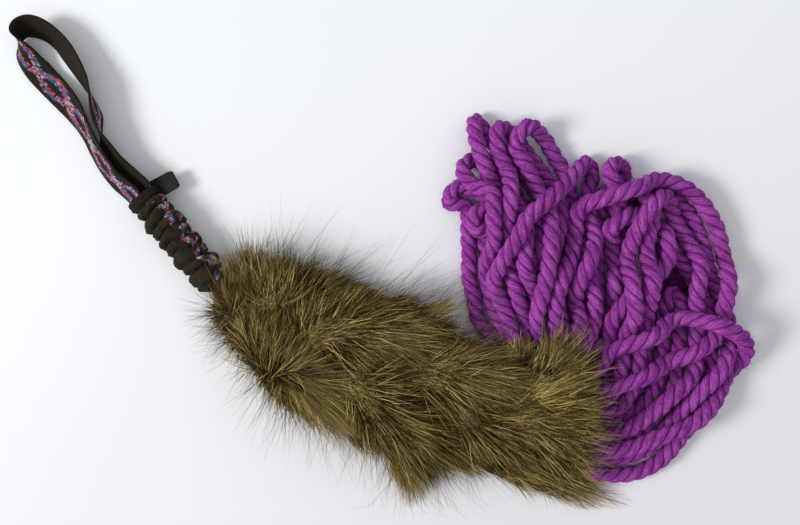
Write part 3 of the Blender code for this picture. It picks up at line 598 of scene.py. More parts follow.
@dataclass(frozen=True)
class FloorFinish(Finish):
    """Pale paper floor with painted shade: darker towards the lower right, as the light falls off."""

    # left and right: the floor at its lit upper left and at its lower right in painted shade
    left: tuple[float, float, float] = (0.880, 0.900, 0.930)
    right: tuple[float, float, float] = (0.800, 0.785, 0.820)

    def material(self) -> bpy.types.Material:
        """Soft change of tone across the floor, painted light falloff."""
        made, graph, shader = self.start()
        split = graph.node("ShaderNodeSeparateXYZ")
        graph.feed(split.inputs[0], graph.place())
        # Painted shade: the colour runs from the lit left colour to the darker right colour
        run = graph.math("SUBTRACT", graph.math("MULTIPLY", split.outputs["X"], 0.3), split.outputs["Y"])
        graph.feed(shader.inputs["Base Color"], graph.between(graph.ramp(run, -0.35, 0.28), rgba(self.left),
                                                              rgba(self.right)))
        shader.inputs["Specular IOR Level"].default_value = 0.1
        return made


# ---- routes and sizes of the solids, repeated from the part

STRAP_ROUTE_MM = [
    (-281, 165, -40), (-291, 178, -40), (-299, 192, -38), (-306, 206, -38), (-313.5, 219, -46),
    (-322.5, 231.5, -62), (-334.5, 245, -76), (-347.5, 258.5, -82), (-359, 271.5, -72), (-366.5, 284, -46),
    (-369, 296, 6), (-365, 303, 34), (-356, 305, 42), (-344, 300.5, 40), (-334, 292.5, 40), (-325.5, 282, 42),
    (-316.5, 268.5, 38), (-307.5, 253, 27), (-301.5, 239, 8), (-297.5, 225, -4), (-295.5, 212, 6),
    (-292, 200, 28), (-285.5, 188.5, 40), (-277, 177.5, 43),
]

PLAIT_ROUTE_MM = [
    (-147, 31), (-122, 24), (-95, 15), (-66, 5), (-37, -9), (-8, -22), (19, -32), (43, -37),
]

YARN_LOOPS_MM = [
    (0, 115, 95, [(74, 30), (62, 52), (54, 74), (50, 95), (58, 112), (64, 126), (58, 140), (44, 143), (29, 143),
                  (26, 155), (38, 162), (54, 158), (68, 148), (77, 132), (82, 112), (82, 92), (84, 70),
                  (92, 48)]),
    (0, 75, 55, [(118, 40), (108, 60), (100, 80), (92, 98), (80, 112), (66, 118), (50, 118), (41, 127),
                 (49, 136), (64, 136), (80, 133), (96, 124), (108, 108), (118, 90), (128, 68), (138, 44)]),
    (0, 35, 15, [(158, 18), (150, 42), (146, 68), (148, 94), (157, 118), (170, 140), (184, 156), (189, 170),
                 (178, 181), (166, 174), (166, 156), (176, 138), (182, 116), (182, 92), (180, 68), (182, 44),
                 (184, 20), (181, -2)]),
    (0, -65, -5, [(155, -98), (178, -97), (199, -94), (215, -84), (226, -68), (236, -50), (248, -30), (256, -8),
                  (258, 15), (254, 38), (248, 60), (244, 82), (234, 100), (219, 106), (207, 96), (205, 78),
                  (207, 55), (206, 32), (202, 10), (196, -12), (186, -32)]),
    (0, -45, -25, [(172, -82), (193, -76), (210, -62), (224, -42), (234, -18), (240, 8), (242, 34), (236, 56),
                   (222, 62), (212, 50), (208, 30), (206, 8), (200, -16), (190, -40)]),
    (1, 115, 95, [(76, 34), (66, 58), (62, 82), (67, 104), (73, 124), (70, 144), (60, 157), (46, 160), (34, 164),
                  (34, 178), (46, 183), (61, 178), (73, 166), (83, 150), (91, 132), (95, 112), (94, 90),
                  (96, 66), (102, 40)]),
    (1, 75, 37, [(116, 38), (104, 58), (97, 80), (94, 102), (88, 124), (78, 144), (68, 162), (59, 180), (50, 196),
                 (42, 210), (45, 223), (56, 222), (62, 210), (69, 194), (77, 178), (87, 162), (97, 144),
                 (106, 124), (116, 102), (126, 80), (138, 56), (150, 30), (156, 12)]),
    (1, 17, 56, [(170, 2), (160, 30), (156, 56), (155, 82), (158, 104), (164, 124), (175, 138), (192, 141),
                 (210, 131), (222, 116), (223, 96), (215, 76), (200, 61), (182, 50), (166, 38), (153, 24)]),
    (1, -60, -8, [(158, -84), (184, -80), (208, -72), (228, -56), (246, -36), (260, -12), (267, 14), (268, 40),
                  (264, 66), (260, 92), (253, 116), (243, 138), (227, 155), (207, 166), (192, 160), (188, 142),
                  (190, 120), (192, 98), (192, 74), (192, 50), (190, 26), (188, 0), (182, -26)]),
    (2, 113, 75, [(90, 34), (86, 58), (86, 84), (86, 112), (80, 138), (72, 162), (64, 184), (58, 202), (65, 215),
                  (78, 211), (84, 194), (90, 176), (98, 158), (106, 140), (112, 118), (114, 94), (116, 68),
                  (121, 40)]),
    (2, 94, 50, [(107, 38), (106, 64), (108, 90), (110, 118), (108, 142), (100, 162), (89, 178), (81, 194),
                 (82, 208), (94, 216), (108, 208), (121, 192), (131, 174), (138, 152), (141, 128), (143, 102),
                 (145, 76), (148, 50), (150, 26)]),
    (2, -40, 5, [(168, -74), (188, -67), (206, -54), (225, -35), (240, -14), (249, 8), (251, 32), (248, 58),
                 (250, 84), (250, 106), (242, 126), (228, 142), (210, 151), (193, 146), (181, 130), (175, 110),
                 (173, 88), (176, 62), (181, 36), (185, 8), (180, -18)]),
    (3, 112, 72, [(88, 34), (83, 56), (79, 80), (81, 102), (88, 122), (98, 138), (110, 152), (124, 164),
                  (139, 174), (154, 181), (165, 172), (166, 154), (163, 134), (157, 112), (150, 90), (144, 66),
                  (138, 40)]),
    (3, 92, 22, [(107, 40), (106, 64), (110, 86), (120, 105), (134, 124), (150, 141), (168, 153), (190, 160),
                 (215, 160), (238, 150), (254, 132), (263, 110), (268, 88), (273, 64), (274, 42), (264, 24),
                 (244, 12), (220, 2), (200, -6), (184, -14)]),
    (3, 47, -60, [(158, 6), (171, 15), (189, 25), (208, 36), (230, 44), (252, 43), (270, 36), (276, 16),
                  (275, -6), (264, -25), (244, -42), (226, -58), (204, -71), (180, -76), (160, -82)]),
]

# Hair arrows: x, y, direction in degrees, length in mm
NAP_MM = [
    (-176, 56, 120, 14), (-170, 90, 100, 24), (-158, 99, 85, 30), (-142, 94, 75, 28), (-126, 90, 80, 28),
    (-110, 90, 75, 28), (-180, 40, 215, 13), (-172, 16, 235, 15), (-158, -4, 245, 18), (-141, -19, 252, 20),
    (-125, -17, 262, 20), (-159, 65, 80, 18), (-144, 65, 78, 18), (-128, 65, 82, 20), (-150, 40, 75, 14),
    (-135, 37, 85, 14), (-121, 39, 88, 16), (-166, 40, 75, 14), (-159, 22, 68, 14), (-148, 10, 72, 15),
    (-135, 3, 80, 15), (-122, 12, 82, 16), (-113, 56, 78, 20), (-110, 16, 40, 16), (-94, 71, 25, 26),
    (-79, 65, 12, 26), (-64, 67, 6, 28), (-41, 58, 0, 28), (-17, 47, -6, 28), (-2, 37, 0, 30), (7, 37, 30, 34),
    (21, 46, 45, 40), (28, 16, -15, 28), (41, 12, -18, 26), (-94, 30, 12, 24), (-75, 16, -8, 26), (-61, 1, -15, 26),
    (-39, 16, -8, 28), (-12, 16, -8, 28), (14, -2, -15, 28), (-29, -33, -25, 28), (-4, -28, -20, 28),
    (5, -55, -25, 28), (-100, -10, -30, 24), (-84, -33, -38, 26), (-84, -51, -50, 26), (-106, -31, -70, 24),
    (-94, -55, -75, 24), (-70, -67, -62, 26), (-48, -68, -50, 26), (-35, -82, -65, 28), (-21, -73, -50, 26),
    (-17, -88, -72, 30), (-11, -102, -82, 38), (-5, -115, -86, 38), (5, -95, -55, 30), (19, -86, -35, 26),
    (36, -82, -18, 26), (59, -82, -15, 26), (81, -88, -20, 26), (94, -95, -28, 30), (36, -33, -14, 28),
    (59, -10, -6, 26), (59, -42, -8, 28), (68, 16, 15, 22), (81, 7, 25, 24), (103, 25, 72, 28), (94, 16, 60, 26),
    (117, 12, 52, 28), (130, 1, 32, 28), (134, -15, 12, 30), (148, -26, 8, 32), (150, -43, 0, 32),
    (143, -68, -12, 32), (134, -91, -32, 32), (121, -104, -42, 34), (112, -115, -48, 36), (148, -131, -42, 40),
    (85, -24, 4, 26), (108, -19, 12, 26), (108, -42, 0, 28), (85, -59, -8, 28), (112, -64, -10, 28),
    (121, -82, -22, 28), (94, -77, -18, 28),
]

# Paler and darker patches of the coat: x, y, radius in mm, shift of tone. Most are the coat's own uneven tone; the
# small dark ones at x -113 to -128 mm are painted shade along a crease
TONE_AND_SHADE_PATCHES_MM = [
    (-116, -1, 13, 0.22), (-102, -22, 15, 0.26), (-88, -38, 13, 0.20), (-72, 80, 16, 0.16), (-37, 26, 15, 0.18),
    (-128, -3, 9, -0.20), (-85, 8, 16, -0.16), (-40, -28, 20, -0.20), (-22, -12, 18, -0.14), (10, -48, 24, -0.12),
    (88, 8, 12, 0.26), (103, 4, 11, 0.22), (97, -22, 13, 0.16), (60, -62, 18, -0.12), (108, -78, 16, -0.14),
    (-18, -98, 12, -0.08), (-150, 78, 14, 0.10), (-113, 62, 8, -0.22), (-113, 40, 7, -0.22), (-118, 12, 7, -0.18),
    (20, 8, 16, 0.12), (-60, 42, 14, -0.08),
]

# Share of the plait's length, and the long hair's reach up and down in plan
PILE_MM = [
    (0.0, 2, 2), (0.12, 15, 3), (0.3, 15, 13), (0.5, 18, 14), (0.62, 12, 16), (0.8, 3, 15), (1.0, 0, 3),
]

# Free locks: x, y, half width and half height of each station
TUFTS_MM = {
    "fur_tuft_lower": [(-21, -66, 10, 6.6), (-19, -82, 11, 7.2), (-14, -100, 8, 5.5), (-9, -117, 3, 2.2)],
    "fur_tuft_end": [(40, -79.7, 7, 4.4), (58, -93, 9, 5.2), (75, -103, 7, 4.2), (88, -112, 3, 2.2)],
}

# Outline of the dense fur from above
FUR_EDGE_MM = [
    (-177, 66), (-174, 82), (-164, 94), (-145, 99), (-108, 88), (-69, 76), (-47, 69), (-21, 51), (0, 41),
    (18, 30), (40, 18), (57, 11), (70, 14), (88, 21), (104, 25), (113, 22), (126, 6), (131, -14), (132, -44),
    (130, -70), (120, -86), (130, -104), (125, -114), (107, -110), (77, -100), (50, -93), (23, -98), (1, -103),
    (-12, -103), (-25, -82), (-48, -71), (-74, -61), (-92, -46), (-109, -32), (-122, -24), (-143, -10),
    (-163, 6), (-174, 26), (-180, 46),
]

# Drawn locks: root x, y, tip x, y, root and tip height, root and tip half width, number of hairs
LOCKS_MM = [
    (-160, 70, -177, 99, 24, 20, 9, 9, 420),
    (-152, 78, -157, 110, 26, 20, 9, 9, 300),
    (-169, 59, -182, 77, 20, 18, 7, 7, 220),
    (-18, -71, -7, -136, 18, 6, 10, 4, 650),
    (-25, -77, -19, -123, 16, 5, 8, 4, 260),
    (-10, -81, 10, -121, 14, 5, 8, 5, 260),
    (73, -87, 163, -135, 20, 6, 11, 4, 800),
    (69, -87, 112, -123, 20, 6, 11, 6, 500),
    (108, -82, 141, -120, 30, 10, 10, 6, 450),
    (24, -79, 61, -106, 20, 8, 10, 6, 350),
    (-62, -58, -40, -93, 16, 6, 10, 6, 200),
    (-112, -30, -97, -66, 16, 6, 8, 6, 160),
    (-11, 35, 30, 58, 38, 30, 8, 3, 420),
    (-30, 48, 0, 60, 36, 28, 7, 4, 220),
    (5, 28, 29, 38, 30, 26, 7, 4, 160),
    (103, -4, 114, 27, 56, 47, 11, 8, 420),
    (115, -7, 134, 12, 56, 47, 10, 8, 260),
    (121, -24, 143, -19, 56, 47, 10, 8, 260),
    (121, -46, 145, -50, 56, 47, 10, 8, 260),
    (119, -63, 141, -79, 54, 46, 10, 8, 260),
    (111, -74, 143, -108, 50, 26, 10, 8, 300),
    (83, 1, 84, 30, 48, 40, 9, 7, 160),
    (112, 2, 144, 38, 50, 46, 10, 14, 140),
    (120, -14, 172, -1, 52, 46, 14, 20, 170),
    (122, -40, 177, -43, 52, 46, 14, 20, 180),
    (120, -62, 174, -79, 50, 42, 14, 20, 180),
    (116, -86, 169, -109, 42, 28, 12, 17, 160),
    (104, -100, 190, -132, 14, 5, 8, 6, 220),
]

# Sparse long hairs that stand clear of the coat, in the same columns
WISPS_MM = [
    (-164, 76, -178, 120, 24, 30, 10, 18, 90), (-152, 88, -150, 130, 24, 30, 10, 20, 85),
    (-134, 88, -118, 126, 26, 30, 12, 18, 55), (-108, 84, -88, 108, 28, 30, 12, 16, 28),
    (-76, 72, -50, 92, 28, 28, 12, 14, 24), (-40, 60, -8, 80, 28, 28, 10, 12, 35),
    (-150, -4, -166, -36, 14, 8, 12, 16, 45), (-122, -22, -128, -62, 14, 6, 14, 20, 60),
    (-100, -40, -104, -84, 14, 6, 12, 22, 60), (-78, -56, -76, -104, 14, 6, 12, 20, 60),
    (-52, -66, -54, -112, 14, 5, 10, 18, 50), (-24, -84, -34, -130, 12, 5, 9, 14, 50),
    (8, -92, 18, -134, 12, 5, 10, 16, 50), (44, -84, 66, -122, 14, 5, 12, 16, 50),
    (92, -98, 128, -134, 12, 5, 12, 16, 60), (70, 10, 58, 40, 40, 36, 10, 14, 45),
    (128, -28, 163, -22, 50, 44, 18, 28, 150), (122, -6, 150, 14, 50, 46, 12, 20, 90), (128, -60, 160, -70, 48, 40, 16, 26, 130),
    (110, 12, 121, 44, 50, 44, 12, 18, 90),
]

# Places between the loops where dark loose fibre lies on the floor as painted shade: x, y, reach in mm and number of
# fibres
SHADE_FIBRE_MM = [(231, 78, 17, 1500), (226, 92, 11, 700), (194, 146, 11, 700), (212, 60, 12, 600)]


# sub-assemblies


@dataclass
class Swivel:
    """Where the bungee turns on the plait, and the directions that the grip end is built on."""

    pivot: Vector = field(default_factory=lambda: Vector((-178.0 * MM, 58.0 * MM, 14.0 * MM)))
    angle: float = 130.4
    length: float = 112.0 * MM
    neck_radius: float = 8.0 * MM
    neck_length: float = 11.0 * MM

    @property
    def along(self) -> Vector:
        """Direction from the fur towards the grip."""
        return heading(self.angle)

    @property
    def side(self) -> Vector:
        """Direction to the bungee's upper right side."""
        return -left_of(self.along)


@dataclass
class HandLoop:
    """The webbing hand loop, its stitched block and its folded tag."""

    swivel: Swivel
    width: float = 25.0 * MM
    thickness: float = 1.9 * MM
    spread: float = 12.0 * MM
    lean: float = 42.0
    foot: float = 1.0 * MM
    block_length: float = 9.6 * MM
    tag_tuck: float = 6.5 * MM
    root: float = 18.0 * MM
    stations: int = 260

    def face(self) -> Vector:
        """Middle of the block's face that the strap leaves."""
        return self.swivel.pivot + self.swivel.along * (self.swivel.length + 2 * CLEARANCE + self.block_length)

    def route(self) -> np.ndarray:
        """Stations of the strap: plan place and lean."""
        along, side, face = self.swivel.along, self.swivel.side, self.face()
        start, end = face - side * (self.spread / 2), face + side * (self.spread / 2)
        lead = along * (4 * self.thickness)
        rows = [(start.x, start.y, -self.lean), (*(start + lead)[:2], -self.lean)]
        rows += [(x * MM, y * MM, lean) for x, y, lean in STRAP_ROUTE_MM]
        rows += [(*(end + lead)[:2], self.lean), (end.x, end.y, self.lean)]
        return smooth_route(rows, self.stations)

    def build(self) -> None:
        """Strap with rounded edges and a slightly uneven flat, then the tag and the block's stitching."""
        stations = self.route()
        tangents = np.gradient(stations[:, :2], axis=0)
        along = self.swivel.along
        tangents[0], tangents[-1] = along[:2], (-along)[:2]
        steps = np.linalg.norm(np.diff(stations[:, :2], axis=0), axis=1)
        runs = np.concatenate([[0.0], np.cumsum(steps)])
        across = [-0.985, -0.95, -0.8, -0.5, 0.0, 0.5, 0.8, 0.95, 0.985]
        places = [(share, 1.0) for share in across] + [(share, -1.0) for share in reversed(across)]
        rings = []
        for (x, y, lean), tangent, run in zip(stations, tangents, runs):
            outward = left_of(Vector((tangent[0], tangent[1], 0.0)))
            tilt = math.radians(lean)
            width = outward * math.sin(tilt) + Vector((0, 0, math.cos(tilt)))
            normal = outward * math.cos(tilt) - Vector((0, 0, math.sin(tilt)))
            rise = (self.width * math.cos(tilt) + self.thickness * abs(math.sin(tilt))) / 2 + self.foot
            middle = Vector((x, y, rise))
            ring = []
            for share, face in places:
                half = self.thickness / 2 * (0.45 if abs(share) > 0.97 else 1.0)
                ripple = noise.noise(Vector((run * 55.0, share * 1.4, 3.0))) * 0.35 * MM
                edge = noise.noise(Vector((run * 90.0, 7.0, 1.0))) * 0.25 * MM * share
                ring.append(middle + width * (self.width / 2 * share + edge) + normal * (half * face + ripple))
            rings.append(ring)
        strap = sweep(rings, {"across": [share for share, _ in places], "face": [face for _, face in places]}, list(runs))
        finish = WebbingFinish("strap webbing", roughness=0.82, offset=19.0 * MM)
        piece = finished("strap_loop", strap, finish.material(), None, ["handle_webbing"])
        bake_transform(piece)
        log.info("strap length %.0f mm", runs[-1] / MM)
        self.build_block()
        self.build_tag()

    def build_block(self) -> None:
        """The stitched end as cloth folded over itself: two creased rolls across the strap."""
        along, side = self.swivel.along, self.swivel.side
        tilt = math.radians(self.lean)
        half_width = (self.spread + self.width * math.sin(tilt)) / 2 + 1.6 * MM
        half_height = (self.foot + self.width * math.cos(tilt) + self.thickness) / 2
        start = self.swivel.pivot + along * (self.swivel.length + CLEARANCE)
        angles = np.linspace(0, 2 * math.pi, 72, endpoint=False)
        rings, runs = [], []
        for share in np.linspace(0.0, 1.0, 34):
            middle = start + along * (self.block_length * float(share))
            middle.z = half_height + self.foot / 2
            eased = (1.0 - abs(2.0 * share - 1.0) ** 5) ** 0.5 * 0.24 + 0.76
            ring = []
            for angle in angles:
                wander = 0.5 * noise.noise(Vector((math.cos(angle), math.sin(angle), 2.0)))
                roll = abs(math.sin(math.pi * (2.0 * share + wander))) ** 0.6
                crease = noise.noise(Vector((math.cos(angle) * 3.0, math.sin(angle) * 3.0, share * 5.0)))
                size = eased * (0.93 + 0.09 * roll) + 0.04 * crease
                across = math.copysign(abs(math.cos(angle)) ** 0.75, math.cos(angle))
                rise = math.copysign(abs(math.sin(angle)) ** 0.75, math.sin(angle))
                point = middle + side * (half_width * size * across)
                point += Vector((0, 0, half_height * min(size, 1.0) * rise))
                point.z = max(point.z, 0.4 * MM)
                ring.append(point)
            rings.append(ring)
            runs.append(share * self.block_length * 1.2)
        block = sweep(rings, {"across": [math.sin(angle) for angle in angles]}, runs)
        finish = WebbingFinish("end webbing", roughness=0.84, band=Band.PLAIN, pitch=1.9 * MM, skew=2.4 * MM)
        finished("bound_end", block, finish.material(), Body.HEAD, ["handle_bartack"])

    def build_tag(self) -> None:
        """A ribbon folded double with its cut ends at the block, bare on both sides."""
        width, length, ply = 17.0 * MM, 17.0 * MM, 0.6 * MM
        out = heading(28.0)
        side_step = left_of(out)
        low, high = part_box("label_tag")
        hinge = Vector((-0.240639, 0.158457, 0.01226))
        outer = 1.6 * ply + ply / 2
        root = hinge - Vector((0, 0, outer)) - out * self.tag_tuck
        reach = length - 1.6 * ply + self.tag_tuck
        middle = outer - ply / 2
        line = []
        for step in range(9):
            share = step / 8
            line.append((reach * share, -middle - 0.5 * MM * math.sin(math.pi * share)))
        for step in range(1, 8):
            angle = -math.pi / 2 + math.pi * step / 8
            line.append((reach + middle * math.cos(angle), middle * math.sin(angle)))
        for step in range(9):
            share = 1 - step / 8
            line.append((reach * share, middle + 0.3 * MM * math.sin(math.pi * share)))
        path = np.array(line)
        tangents = np.gradient(path, axis=0)
        tangents /= np.linalg.norm(tangents, axis=1)[:, None]
        runs = np.concatenate([[0.0], np.cumsum(np.linalg.norm(np.diff(path, axis=0), axis=1))])
        shares = [-1.0, -0.9, -0.5, 0.0, 0.5, 0.9, 1.0]
        rings = []
        for (run, rise), (step_run, step_rise) in zip(path, tangents):
            normal = out * -step_rise + Vector((0, 0, step_run))
            bend = min(max((run - reach + 2.5 * MM) / (2.5 * MM + middle), 0.0), 0.95)
            corner = 1.0 - (1.0 - math.sqrt(1.0 - bend ** 2)) * 0.30
            ring = []
            for face in (1.0, -1.0):
                for share in (shares if face > 0 else shares[::-1]):
                    bow = Vector((0, 0, 0.5 * MM * share * share * run / length))
                    ring.append(root + out * run + Vector((0, 0, rise)) + side_step * (width / 2 * share * corner)
                                + normal * (face * ply / 2) + bow)
            rings.append(ring)
        tag = sweep(rings, {"across": shares + shares[::-1]}, list(runs))
        finished("folded_tag", tag, RibbonFinish("tag ribbon", 0.5).material(), Body.TAG, ["label_tag"],
                 sharp=50.0)
        log.info("tag lies from %.3f to %.3f", low.x, high.x)


@dataclass
class Bungee:
    """Gathered webbing sleeve over the elastic, and the neck that turns on the plait."""

    swivel: Swivel
    half_width: float = 14.6 * MM
    half_height: float = 12.4 * MM
    gathers: int = 9
    depth: float = 3.3 * MM
    stations: int = 190
    sides: int = 84

    def build(self) -> None:
        """Sleeve with pinched valleys and puffed gathers, wandering a little as real gathers do."""
        swivel = self.swivel
        start = swivel.neck_length + CLEARANCE
        length = swivel.length - start
        angles = [2 * math.pi * index / self.sides for index in range(self.sides)]
        rings, runs = [], []
        for station in range(self.stations + 1):
            share = station / self.stations
            swell = float(smooth_step(share / 0.10)) * (1.0 - 0.25 * float(smooth_step((share - 0.93) / 0.07)))
            middle = swivel.pivot + swivel.along * (start + length * share)
            ring = []
            for angle in angles:
                drift = 0.20 * math.sin(angle + 5.0 * share) + 0.42 * noise.noise(
                    Vector((math.cos(angle) * 0.9, math.sin(angle) * 0.9, share * 7.0)))
                phase = self.gathers * share + drift
                puff = abs(math.sin(math.pi * phase)) ** 0.55
                crease = noise.noise(Vector((math.cos(angle) * 4.5, math.sin(angle) * 4.5, phase * 2.2)))
                bulge = (puff - 0.62) * self.depth * 1.6 + crease * 1.7 * MM
                slip = 1.1 * MM * math.sin(math.pi * phase + 0.6) * swell
                reach_side = swivel.neck_radius + (self.half_width - swivel.neck_radius + bulge) * swell
                reach_up = swivel.neck_radius + (self.half_height - swivel.neck_radius + bulge) * swell
                point = middle + swivel.side * (reach_side * math.cos(angle) + slip)
                point += Vector((0, 0, reach_up * math.sin(angle)))
                point.z = max(point.z, 0.4 * MM)
                ring.append(point)
            rings.append(ring)
            runs.append(share * length)
        band = [math.remainder(angle - math.radians(38.0), 2 * math.pi) / 0.95 for angle in angles]
        sleeve = sweep(rings, {"across": band}, runs)
        finish = WebbingFinish("sleeve webbing", roughness=0.84, band=Band.GATHERED, unit=21.0 * MM, spread=0.42,
                               line=0.34, pitch=1.9 * MM, skew=0.6 * MM, fold_scale=155.0,
                               light=(0.050, 0.037, 0.018))
        piece = finished("ruched_sleeve", sleeve, finish.material(), None, ["bungee_sleeve"])
        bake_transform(piece)
        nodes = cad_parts
        nodes["bungee_neck"].data.materials[0] = StitchFinish("neck stitching", 0.75, pitch=1.6 * MM).material()
        nodes["bungee_core"].data.materials[0] = RibbonFinish("elastic cover", 0.7, ground=(0.42, 0.41, 0.37),
                                                               light=(0.62, 0.61, 0.56)).material()


@dataclass
class FurPlait:
    """Three fur strips plaited between their two bindings, and the turned-over end above the yarn."""

    swivel: Swivel
    knot: tuple[float, float] = (112.0 * MM, -42.0 * MM)
    knot_radius: float = 30.0 * MM
    knot_top: float = 46.0 * MM
    pitch: float = 300.0 * MM
    sway: float = 33.0 * MM
    lift: float = 18.0 * MM
    half_width: float = 15.0 * MM
    half_height: float = 12.2 * MM
    head_scale: float = 0.46
    tail_scale: float = 0.70
    gather: float = 46.0 * MM
    steps: int = 121
    rest_cut: float = 0.5 * MM
    pile_drop: float = 0.5
    pile_edge: float = 1.5
    pile_turn: int = 3
    flap_lengthen: float = 1.25
    flap_shift: float = 5.0 * MM

    def ends(self) -> tuple[Vector, Vector, Vector, Vector]:
        """Middle of the plait's end faces against the bindings, and the plan direction at each."""
        head_out = -self.swivel.along
        head = self.swivel.pivot + head_out * (self.swivel.neck_radius + 9.0 * MM + 2 * CLEARANCE)
        tail_out = heading(-3.0)
        tail = Vector((*self.knot, 0)) - tail_out * (self.knot_radius + 8.0 * MM + 2 * CLEARANCE)
        return head, head_out, tail, tail_out

    def path(self, number: int) -> tuple[np.ndarray, np.ndarray, np.ndarray]:
        """Centre points, gathered size and outward reach along one strand, as its solid has them."""
        head, head_out, tail, tail_out = self.ends()
        lead = 8.0 * MM
        route = [head[:2], (head + head_out * lead)[:2]] + [(x * MM, y * MM) for x, y in PLAIT_ROUTE_MM]
        route += [(tail - tail_out * lead)[:2], tail[:2]]
        centre = smooth_route(route, self.steps)
        along = np.concatenate([[0.0], np.cumsum(np.linalg.norm(np.diff(centre, axis=0), axis=1))])
        rest = along[np.argmin(np.linalg.norm(centre - np.array((-8.0, -22.0)) * MM, axis=1))]
        tangents = np.gradient(centre, axis=0)
        tangents[0], tangents[-1] = head_out[:2], tail_out[:2]
        tangents /= np.linalg.norm(tangents, axis=1)[:, None]
        side = np.column_stack([-tangents[:, 1], tangents[:, 0]])
        scale = np.minimum(self.head_scale + (1 - self.head_scale) * smooth_step(along / self.gather),
                           self.tail_scale + (1 - self.tail_scale) * smooth_step((along[-1] - along) / self.gather))
        phase = math.radians(135.0 + 120.0 * number) + 2 * math.pi * (along - rest) / self.pitch
        plan = centre + side * (scale * self.sway * np.sin(phase))[:, None]
        rise = scale * (self.lift + self.half_height) - self.rest_cut + scale * self.lift * np.sin(2 * phase)
        table = np.array(PILE_MM, dtype=float)
        shares = along / along[-1]
        outward = np.sin(phase)
        reach = np.where(outward > 0, np.interp(shares, table[:, 0], table[:, 1]),
                         np.interp(shares, table[:, 0], table[:, 2])) * MM
        return np.column_stack([plan, rise]), scale, reach * scale * outward * np.abs(outward) ** (self.pile_turn - 1)

    def build(self) -> None:
        """Backing of each strip and of the turned-over end, under the hair."""
        skin = SkinFinish("fur backing", 0.9).material()
        for number, letter in enumerate("abc"):
            points, scales, reaches = self.path(number)
            tangents = np.gradient(points, axis=0)
            rings, runs = [], []
            for index in range(0, self.steps, 2):
                tangent = Vector(tangents[index]).normalized()
                side = left_of(tangent)
                up = tangent.cross(side)
                ring = []
                for corner in range(24):
                    angle = 2 * math.pi * corner / 24
                    push = 0.90 + 0.10 * noise.noise(Vector(points[index]) * 60.0 + Vector((angle, 0, 0)))
                    point = Vector(points[index]) + side * (self.half_width * scales[index] * push * math.cos(angle))
                    point += up * (self.half_height * scales[index] * push * math.sin(angle))
                    outer = max(math.cos(angle) * math.copysign(1.0, reaches[index]), 0.0) ** self.pile_edge
                    point += side * (reaches[index] * outer)
                    point.z -= abs(reaches[index]) * outer * self.pile_drop
                    point.z = max(point.z, 0.3 * MM)
                    ring.append(point)
                rings.append(ring)
                runs.append(index / self.steps)
            strip = finished(f"fur_strip_{letter}", sweep(rings, {}, runs), skin, Body.BRAID,
                             [f"fur_strand_{letter}"])
        self.build_flap(skin)
        for name, stations_mm in TUFTS_MM.items():
            self.build_tuft(name, stations_mm, skin)
        stitched = StitchFinish("binding", 0.85, ground=(0.030, 0.022, 0.012), thread=(0.085, 0.066, 0.040),
                                pitch=2.2 * MM)
        for name in ("fur_head_binding", "fur_tail_binding"):
            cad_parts[name].data.materials[0] = stitched.material()

    def build_flap(self, skin: bpy.types.Material) -> None:
        """Low dome of backing over the yarn's knot."""
        bm = bmesh.new()
        bmesh.ops.create_uvsphere(bm, u_segments=32, v_segments=16, radius=1.0)
        bmesh.ops.bisect_plane(bm, geom=bm.verts[:] + bm.edges[:] + bm.faces[:], plane_co=(0, 0, 0),
                               plane_no=(0, 0, -1), clear_outer=True)
        bmesh.ops.contextual_create(bm, geom=[edge for edge in bm.edges if edge.is_boundary])
        bmesh.ops.scale(bm, verts=bm.verts, vec=(33.0 * MM, 33.0 * MM * self.flap_lengthen, 11.0 * MM))
        for corner in bm.verts:
            corner.co += corner.co.normalized() * (0.6 * MM * noise.noise(corner.co * 90.0))
        bmesh.ops.translate(bm, verts=bm.verts, vec=(self.knot[0], self.knot[1] + self.flap_shift, self.knot_top))
        flap = finished("fur_turned_end", bm, skin, Body.BRAID, ["fur_end_flap"])

    def build_tuft(self, name: str, stations_mm: Sequence, skin: bpy.types.Material) -> None:
        """Core of a free lock, which its long hair covers."""
        line = smooth_route([[value * MM for value in row] for row in stations_mm], 18)
        tangents = np.gradient(line[:, :2], axis=0)
        rings = []
        for (x, y, half, rise), tangent in zip(line, tangents):
            side = left_of(Vector((tangent[0], tangent[1], 0.0)))
            rings.append([Vector((x, y, rise + CLEARANCE)) + side * (0.85 * half * math.cos(angle))
                          + Vector((0, 0, 0.85 * rise * math.sin(angle)))
                          for angle in np.linspace(0, 2 * math.pi, 16, endpoint=False)])
        core = finished(name.replace("tuft", "lock"), sweep(rings, {}, list(np.linspace(0, 1, len(rings)))), skin,
                        Body.BRAID, [name])


